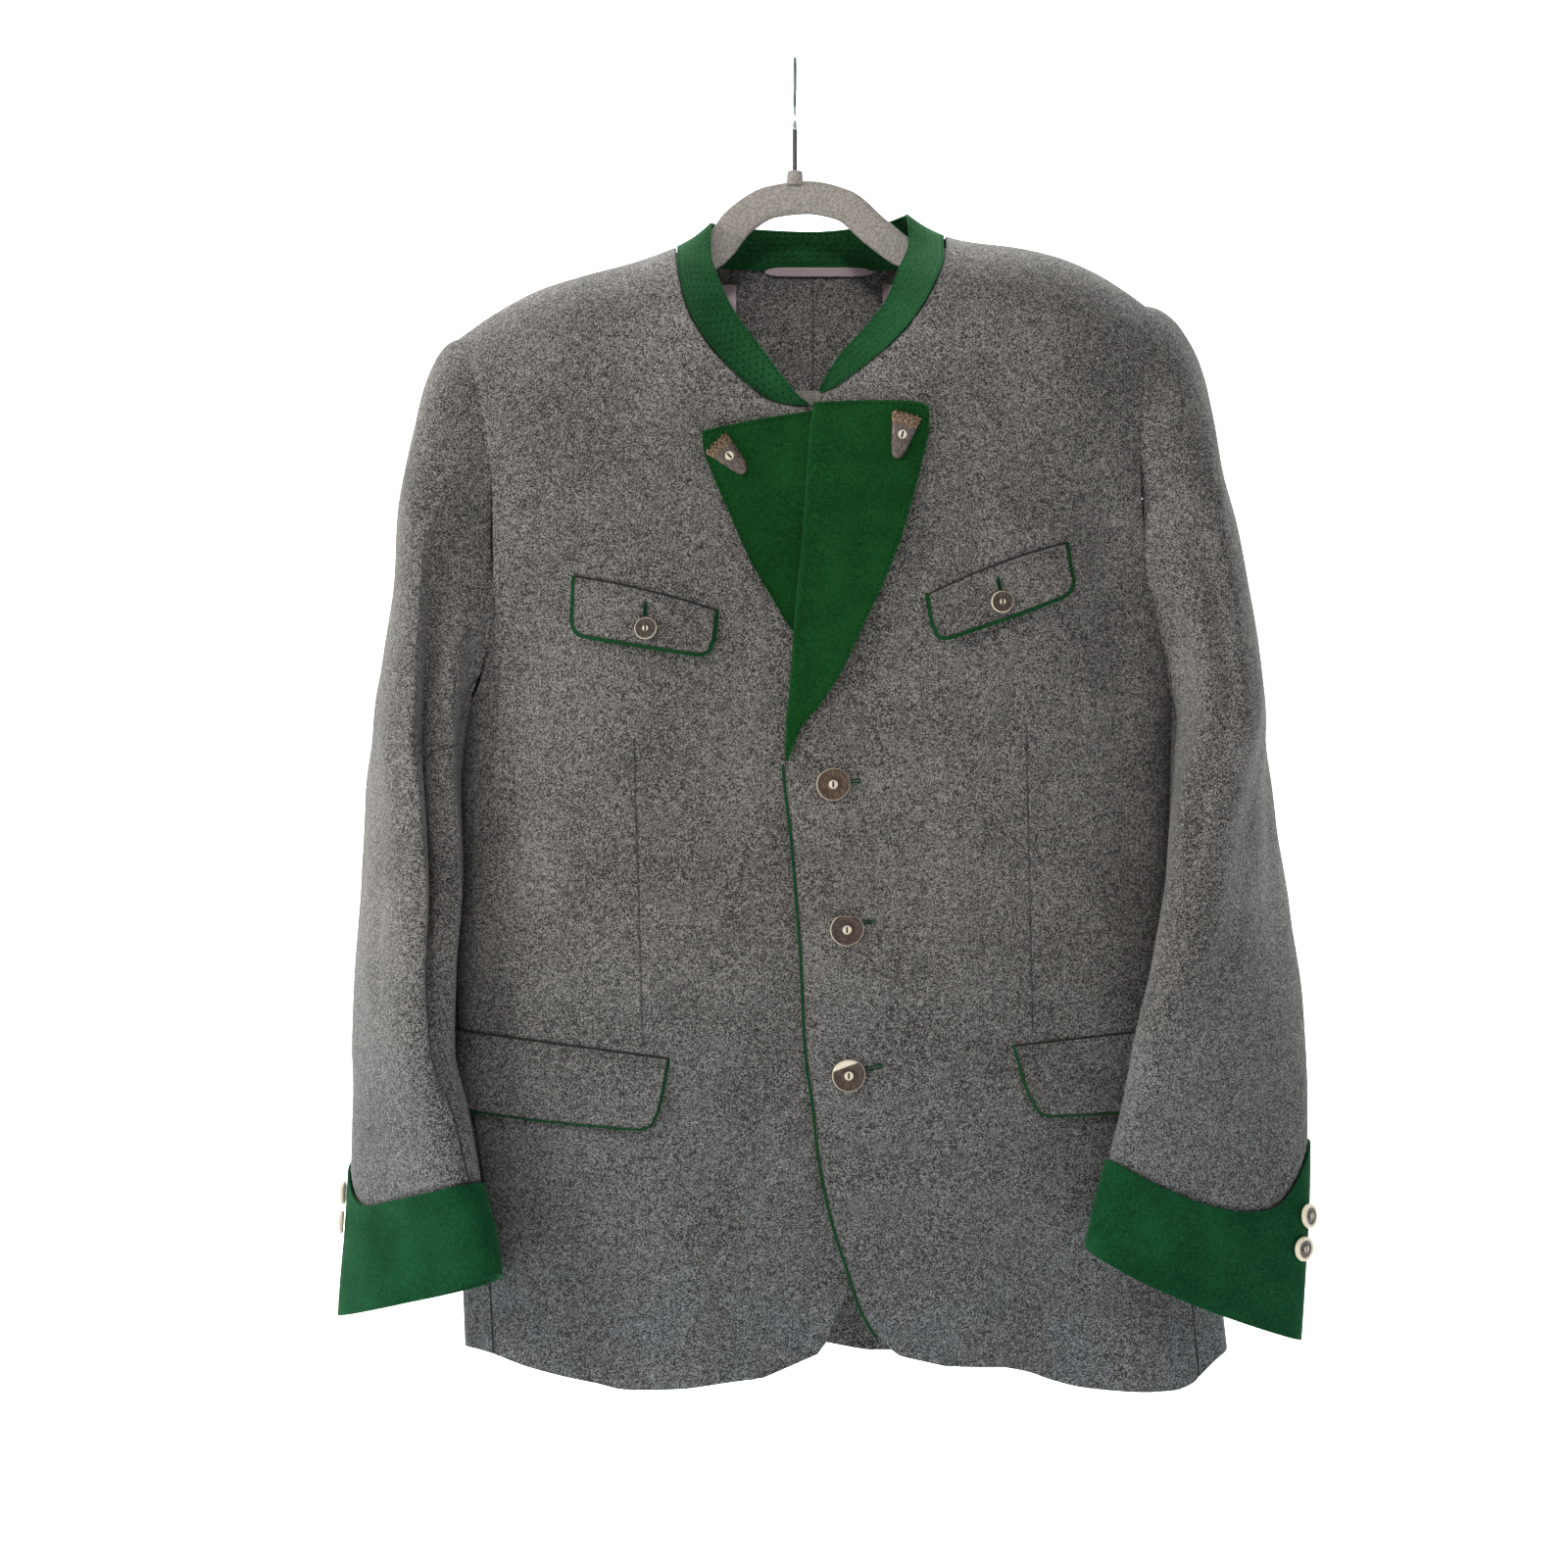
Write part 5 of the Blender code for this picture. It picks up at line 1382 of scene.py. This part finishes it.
def frame_at(point, normal, up=(0, 0, 1)):
    """Axes of a button that lies on the cloth: across, up and out."""
    normal = normal / np.linalg.norm(normal)
    across = np.cross(up, normal)
    across = across / np.linalg.norm(across)
    return point, across, np.cross(normal, across), normal


def disc_button(name, place, diameter, thickness, look, chord=None, uneven=0.02):
    """A turned disc with a raised boss on a dished face.

    chord cuts it flat above that share of its radius.
    """
    point, across, upward, normal = place
    radius = diameter / 2
    profile = (
        (0.0, 0.0), (0.80, 0.0), (0.93, 0.10), (0.99, 0.32), (1.0, 0.55), (0.985, 0.80), (0.95, 0.95),
        (0.90, 1.0), (0.84, 0.98), (0.70, 0.90), (0.50, 0.84), (0.36, 0.84), (0.33, 0.90), (0.31, 1.06),
        (0.27, 1.12), (0.10, 1.10), (0.0, 1.10),
    )
    disc = bmesh.new()
    verts = [disc.verts.new((r * radius, 0, h * thickness)) for r, h in profile]
    edges = [disc.edges.new(pair) for pair in zip(verts, verts[1:])]
    bmesh.ops.spin(
        disc, geom=verts + edges, cent=(0, 0, 0), axis=(0, 0, 1), angle=2 * math.pi, steps=64,
        use_merge=True,
    )
    bmesh.ops.remove_doubles(disc, verts=disc.verts[:], dist=1e-6)
    layer = disc.verts.layers.float.new("radius")
    uv = disc.loops.layers.uv.new("cloth")
    for vert in disc.verts:
        vert[layer] = math.hypot(vert.co.x, vert.co.y) / radius
        angle = math.atan2(vert.co.y, vert.co.x)
        grown = 1 + uneven * math.sin(2 * angle + 0.8) + uneven * 0.5 * math.sin(3 * angle)
        if chord is not None:
            vert.co.y = min(vert.co.y, chord * radius)
        vert.co.x *= grown
        vert.co.y *= grown
    for face in disc.faces:
        for corner in face.loops:
            corner[uv].uv = corner.vert.co.xy
    for vert in disc.verts:
        vert.co = point + across * vert.co.x + upward * vert.co.y + normal * vert.co.z
    return add_object(name, disc, look, "horn", (name,), sharp=55)


def tip_button(name, place, length, burr_width, tip_width, tilt):
    """A flat tip of antler: broad and frayed at the burr, narrow and rounded at the tip."""
    point, across, upward, normal = place
    tip = bmesh.new()
    bmesh.ops.create_grid(tip, x_segments=36, y_segments=48, size=1)
    made = bmesh.ops.extrude_face_region(tip, geom=tip.faces[:])["geom"]
    raised = {item for item in made if isinstance(item, bmesh.types.BMVert)}
    uv = tip.loops.layers.uv.new("cloth")
    for vert in tip.verts:
        side, share = vert.co.x, (vert.co.y + 1) / 2
        round_tip = math.sqrt(max(0.0, 1 - max(0.0, 1 - share / 0.16) ** 2))
        width = (tip_width + (burr_width - tip_width) * share) * (0.35 + 0.65 * round_tip)
        burr = max(0.0, (share - 0.74) / 0.26)
        fray = 0.0009 * burr * (math.sin(17 * side + 3) + 0.6 * math.sin(31 * side))
        crown = (0.0034 + 0.0018 * share + 0.0012 * burr) * (1 - 0.5 * side ** 4)
        crown += 0.0005 * burr * math.sin(23 * side + 40 * share)
        x = side * width / 2 * (1 + 0.05 * burr * math.sin(60 * share))
        y = (share - 0.5) * length + fray
        vert.co = (x, y, crown if vert in raised else 0.0)
    for face in tip.faces:
        for corner in face.loops:
            corner[uv].uv = corner.vert.co.xy
    cos, sin = math.cos(tilt), math.sin(tilt)
    for vert in tip.verts:
        x, y, z = vert.co
        vert.co = point + across * (x * cos - y * sin) + upward * (x * sin + y * cos) + normal * z
    return add_object(name, tip, ANTLER_TIP, "horn", (name,), soft_edge=0.0005)


def normal_on_front(x, z):
    turn = turn_at(np.array([x]), np.array([z]))
    return outward(body_skin, turn, np.array([z]), 0.01, 0.0015)[0]


def place_on_front(x, z, out, side=LEFT):
    point = on_front(np.array([x]), np.array([z]), np.array([out]), side)[0]
    return frame_at(point, normal_on_front(x, z))


def place_on_cuff(side, around, z, out):
    point = tube(side, np.array([around]), np.array([z]), np.array([out]))[0]
    base = tube(side, np.array([around]), np.array([z]), np.array([out - 0.001]))[0]
    return frame_at(point, point - base)


def make_buttons():
    on_cloth = LODEN / 2 + 0.0005
    front_looks = (
        horn_look("antler button 1", 62, 0.49, (0.022, 0.010, 0.005), (0.130, 0.070, 0.034)),
        horn_look("antler button 2", 0, 0.485, (0.014, 0.006, 0.003), (0.085, 0.046, 0.024)),
        horn_look(
            "antler button 3", 92, 0.485, (0.015, 0.007, 0.004), (0.090, 0.050, 0.026),
            cream_side=(-0.35, 0.94, 0.0062),
        ),
    )
    spots = ((0.0251, -0.499, None), (0.0342, -0.5952, 0.80), (0.0355, -0.692, None))
    for number, ((x, z, chord), look) in enumerate(zip(spots, front_looks), 1):
        spot = place_on_front(x, z, on_cloth)
        disc_button(f"button_front_{number}", spot, *FRONT_BUTTON, look, chord)
    on_flap = LAYER + LODEN / 2 + 0.0024
    chest_look = horn_look("antler button chest", 70, 0.47, (0.010, 0.006, 0.004), (0.110, 0.075, 0.050))
    for side, x, z in ((RIGHT, -0.0978, -0.3963), (LEFT, 0.1356, -0.3788)):
        spot = place_on_front(x, z, on_flap, side)
        disc_button(f"button_chest_{SIDE_NAMES[side]}", spot, *CHEST_BUTTON, chest_look)
    on_cuff = CUFF_CLEARANCE + GREEN_CLOTH / 2 + 0.0006
    cuff_look = horn_look("antler button cuff", 40, 0.36, (0.045, 0.036, 0.032), (0.200, 0.165, 0.140))
    for side, places in (
        (RIGHT, ((22, -0.779), (22, -0.7985))),
        (LEFT, ((20, -0.786), (24, -0.8065))),
    ):
        for number, (around, z) in enumerate(places, 1):
            spot = place_on_cuff(side, math.radians(around), z, on_cuff)
            disc_button(f"button_cuff_{SIDE_NAMES[side]}_{number}", spot, *CUFF_BUTTON, cuff_look)
    on_lapel = LAYER + GREEN_CLOTH / 2 + 0.0018
    tip_button(
        "button_lapel_right", place_on_front(-0.0425, -0.2835, on_lapel, RIGHT), 0.0275, 0.0195, 0.0080,
        math.radians(45),
    )
    tip_button(
        "button_lapel_left", place_on_front(0.0700, -0.2700, on_lapel), 0.0295, 0.0200, 0.0070,
        math.radians(-14),
    )


def make_buttonholes():
    on_front_cloth = LODEN / 2
    on_flap = LAYER + LODEN / 2 + 0.0008
    made = [
        make_buttonhole("buttonhole_front_1", LEFT, 0.0390, -0.4970, 0.0050, 0.0014, 0.10, on_front_cloth),
        make_buttonhole("buttonhole_front_2", LEFT, 0.0480, -0.5905, 0.0050, 0.0014, 0.10, on_front_cloth),
        make_buttonhole("buttonhole_front_3", LEFT, 0.0520, -0.6870, 0.0070, 0.0015, 0.25, on_front_cloth),
        make_buttonhole("buttonhole_chest_right", RIGHT, -0.0984, -0.3835, 0.0052, 0.0012, 1.50, on_flap),
        make_buttonhole("buttonhole_chest_left", LEFT, 0.1340, -0.3668, 0.0050, 0.0012, 1.75, on_flap),
    ]
    return made


# --- hanger ---------------------------------------------------------------------------------------

def hanger_path():
    """Centre line and half width of the hanger: along the arms, down the right end and back by the bar."""
    arms = [
        (x, float(read(HANGER_ARM, "z", x, by="x")), float(read(HANGER_ARM, "width", x, by="x")) / 2)
        for x in np.linspace(-0.196, 0.222, 90)
    ]
    bar_half = HANGER_BAR_WIDTH / 2
    left_end = [(0.229, -0.199, 0.0085), (0.227, -0.217, 0.0072), (0.214, HANGER_BAR_Z + 0.002, bar_half)]
    bar = [(x, HANGER_BAR_Z, bar_half) for x in np.linspace(0.190, -0.166, 7)]
    right_end = [(-0.190, HANGER_BAR_Z + 0.003, bar_half), (-0.203, -0.223, 0.0072), (-0.204, -0.209, 0.0085)]
    return np.array(arms + left_end + bar + right_end + arms[:1])


def make_hanger():
    path = hanger_path()
    walked = np.concatenate([[0], np.cumsum(np.linalg.norm(np.diff(path[:, :2], axis=0), axis=1))])
    columns, rows = 420, 16
    share = np.linspace(0, walked[-1], columns + 1)
    x, z, half = (np.interp(share, walked, path[:, i]) for i in range(3))
    along = np.stack([np.roll(x[:-1], -1) - np.roll(x[:-1], 1), np.roll(z[:-1], -1) - np.roll(z[:-1], 1)])
    along = along / np.linalg.norm(along, axis=0)
    along = np.concatenate([along, along[:, :1]], axis=1)
    band = bmesh.new()
    bmesh.ops.create_grid(band, x_segments=columns, y_segments=rows, size=1)
    for vert in band.verts:
        i = round((vert.co.x + 1) / 2 * columns)
        angle = math.pi * (vert.co.y + 1)
        cos, sin = math.cos(angle), math.sin(angle)
        a = math.copysign(abs(cos) ** 0.45, cos) * half[i]
        b = math.copysign(abs(sin) ** 0.60, sin) * HANGER_THICKNESS / 2
        vert.co = (x[i] - along[1, i] * a, b, z[i] + along[0, i] * a)
    bmesh.ops.remove_doubles(band, verts=band.verts[:], dist=1e-5)
    add_object("hanger_body", band, FLOCKING, "flocking", ("hanger_body",))
    boss = bmesh.new()
    bmesh.ops.create_cone(
        boss, cap_ends=True, segments=40, radius1=0.0062, radius2=0.0052, depth=0.0100
    )
    bmesh.ops.translate(boss, verts=boss.verts[:], vec=(0, 0, -0.0850))
    add_object("hanger_boss", boss, FLOCKING, "flocking", soft_edge=0.0008)


# --- the jacket -----------------------------------------------------------------------------------

FRONTS, BACKS, SIDES, SLEEVES, CUFFS, LAPELS, FLAPS_MADE = {}, {}, {}, {}, {}, {}, {}
make_hanger()
for wearer_side in (RIGHT, LEFT):
    FRONTS[wearer_side] = make_front(wearer_side)
    SIDES[wearer_side] = make_side(wearer_side)
    BACKS[wearer_side] = make_back(wearer_side)
    SLEEVES[wearer_side] = make_sleeve(wearer_side)
    CUFFS[wearer_side] = make_cuff(wearer_side)
    LAPELS[wearer_side] = make_lapel(wearer_side)
    for flap_kind in ("chest", "hip"):
        FLAPS_MADE[flap_kind, wearer_side] = make_flap(flap_kind, wearer_side)
collar = make_collar()
edge_piping = make_edge_piping()
tape, lining_right, lining_left = make_inside_neck()
make_buttons()
holes = make_buttonholes()

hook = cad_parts["hanger_hook"]
hook.data.materials.clear()
hook.data.materials.append(HOOK_WIRE)


# --- floor, lights and camera ---------------------------------------------------------------------

def plain_look(name, colour, glow):
    look, tree, shader = new_look(name, {"Roughness": 1.0, "Specular IOR Level": 0.0})
    shade_noise = noise(tree, object_place(tree), 3.0)
    shade(tree, shader, mix(tree, shade_noise, rgb(*colour), rgb(*(c * 0.99 for c in colour))))
    shader.inputs["Emission Color"].default_value = rgb(1, 1, 1)
    shader.inputs["Emission Strength"].default_value = glow
    return look


def make_backdrop():
    """A pale floor that sweeps up into a backdrop."""
    sweep = bmesh.new()
    bmesh.ops.create_grid(sweep, x_segments=2, y_segments=60, size=1)
    for vert in sweep.verts:
        share = (vert.co.y + 1) / 2
        run = np.interp(share, (0, 0.35, 0.65, 1), (-4.0, 1.2, 2.6, 2.6))
        rise = np.interp(share, (0, 0.35, 0.65, 1), (0, 0, 1.4, 5.2))
        if 0.35 < share < 0.65:
            angle = (share - 0.35) / 0.30 * math.pi / 2
            run, rise = 1.2 + 1.4 * math.sin(angle), 1.4 * (1 - math.cos(angle))
        vert.co = (vert.co.x * 5, run, -1.25 + rise)
    bmesh.ops.recalc_face_normals(sweep, faces=sweep.faces[:])
    mesh = bpy.data.meshes.new("backdrop")
    sweep.to_mesh(mesh)
    sweep.free()
    mesh.shade_smooth()
    mesh.materials.append(plain_look("pale backdrop", (0.92, 0.92, 0.92), 0.30))
    obj = bpy.data.objects.new("backdrop", mesh)
    bpy.context.scene.collection.objects.link(obj)


def aim(obj, target):
    """Turns a light so that it shines at the target."""
    x, y, z = (target[i] - obj.location[i] for i in range(3))
    obj.rotation_euler = (math.atan2(math.hypot(x, y), -z), 0, math.atan2(y, x) - math.pi / 2)


def hang_light(light, location, target):
    obj = bpy.data.objects.new(light.name, light)
    obj.location = location
    aim(obj, target)
    bpy.context.scene.collection.objects.link(obj)


def soft_light(name, location, target, size, power, colour):
    light = bpy.data.lights.new(name, "AREA")
    light.shape = "RECTANGLE"
    light.size, light.size_y = size
    light.energy = power
    light.color = colour
    hang_light(light, location, target)


def neck_light():
    """A narrow soft light into the open neck."""
    light = bpy.data.lights.new("neck light", "SPOT")
    light.energy = 95
    light.spot_size = math.radians(9)
    light.spot_blend = 1.0
    light.shadow_soft_size = 0.12
    hang_light(light, (0.03, -1.30, 0.35), (0.008, 0.02, -0.150))


SOFT_LIGHTS = {  # place, what it is aimed at, size, power and colour
    "window": ((-2.8, -1.2, 0.55), (0, 0, -0.40), (0.8, 0.8), 66, (1.0, 0.98, 0.95)),
    "overhead": ((-0.7, -2.1, 1.5), (0, 0, -0.20), (1.2, 0.9), 24, (1.0, 0.975, 0.93)),
    "fill": ((1.9, -2.0, 0.1), (0, 0, -0.4), (1.4, 1.4), 5.5, (1.0, 0.98, 0.95)),
    "low window": ((-2.0, -0.9, -1.0), (-0.2, 0, -0.8), (0.9, 0.5), 5, (0.78, 0.92, 1.0)),
    "low fill": ((2.0, -0.8, -1.0), (0.2, 0, -0.8), (0.9, 0.5), 4, (0.80, 0.90, 1.0)),
}
make_backdrop()
for title, setting in SOFT_LIGHTS.items():
    soft_light(title, *setting)
neck_light()
soft_light("backdrop light", (0, 0.75, 1.35), (0, 2.3, -0.7), (3.0, 0.5), 190, (1.0, 1.0, 1.0))

world = bpy.data.worlds.new("studio")
world.use_nodes = True
world.node_tree.nodes["Background"].inputs["Color"].default_value = rgb(0.97, 0.98, 1.0)
world.node_tree.nodes["Background"].inputs["Strength"].default_value = 0.115
bpy.context.scene.world = world
bpy.context.scene.view_settings.view_transform = "Standard"

camera = bpy.data.objects.new("camera", bpy.data.cameras.new("camera"))
camera.location = (-0.0074, -1.96, -0.499)
camera.rotation_euler = (math.pi / 2, 0, 0)
camera.data.lens = 65.8
camera.data.sensor_width = 36
bpy.context.scene.collection.objects.link(camera)
bpy.context.scene.camera = camera
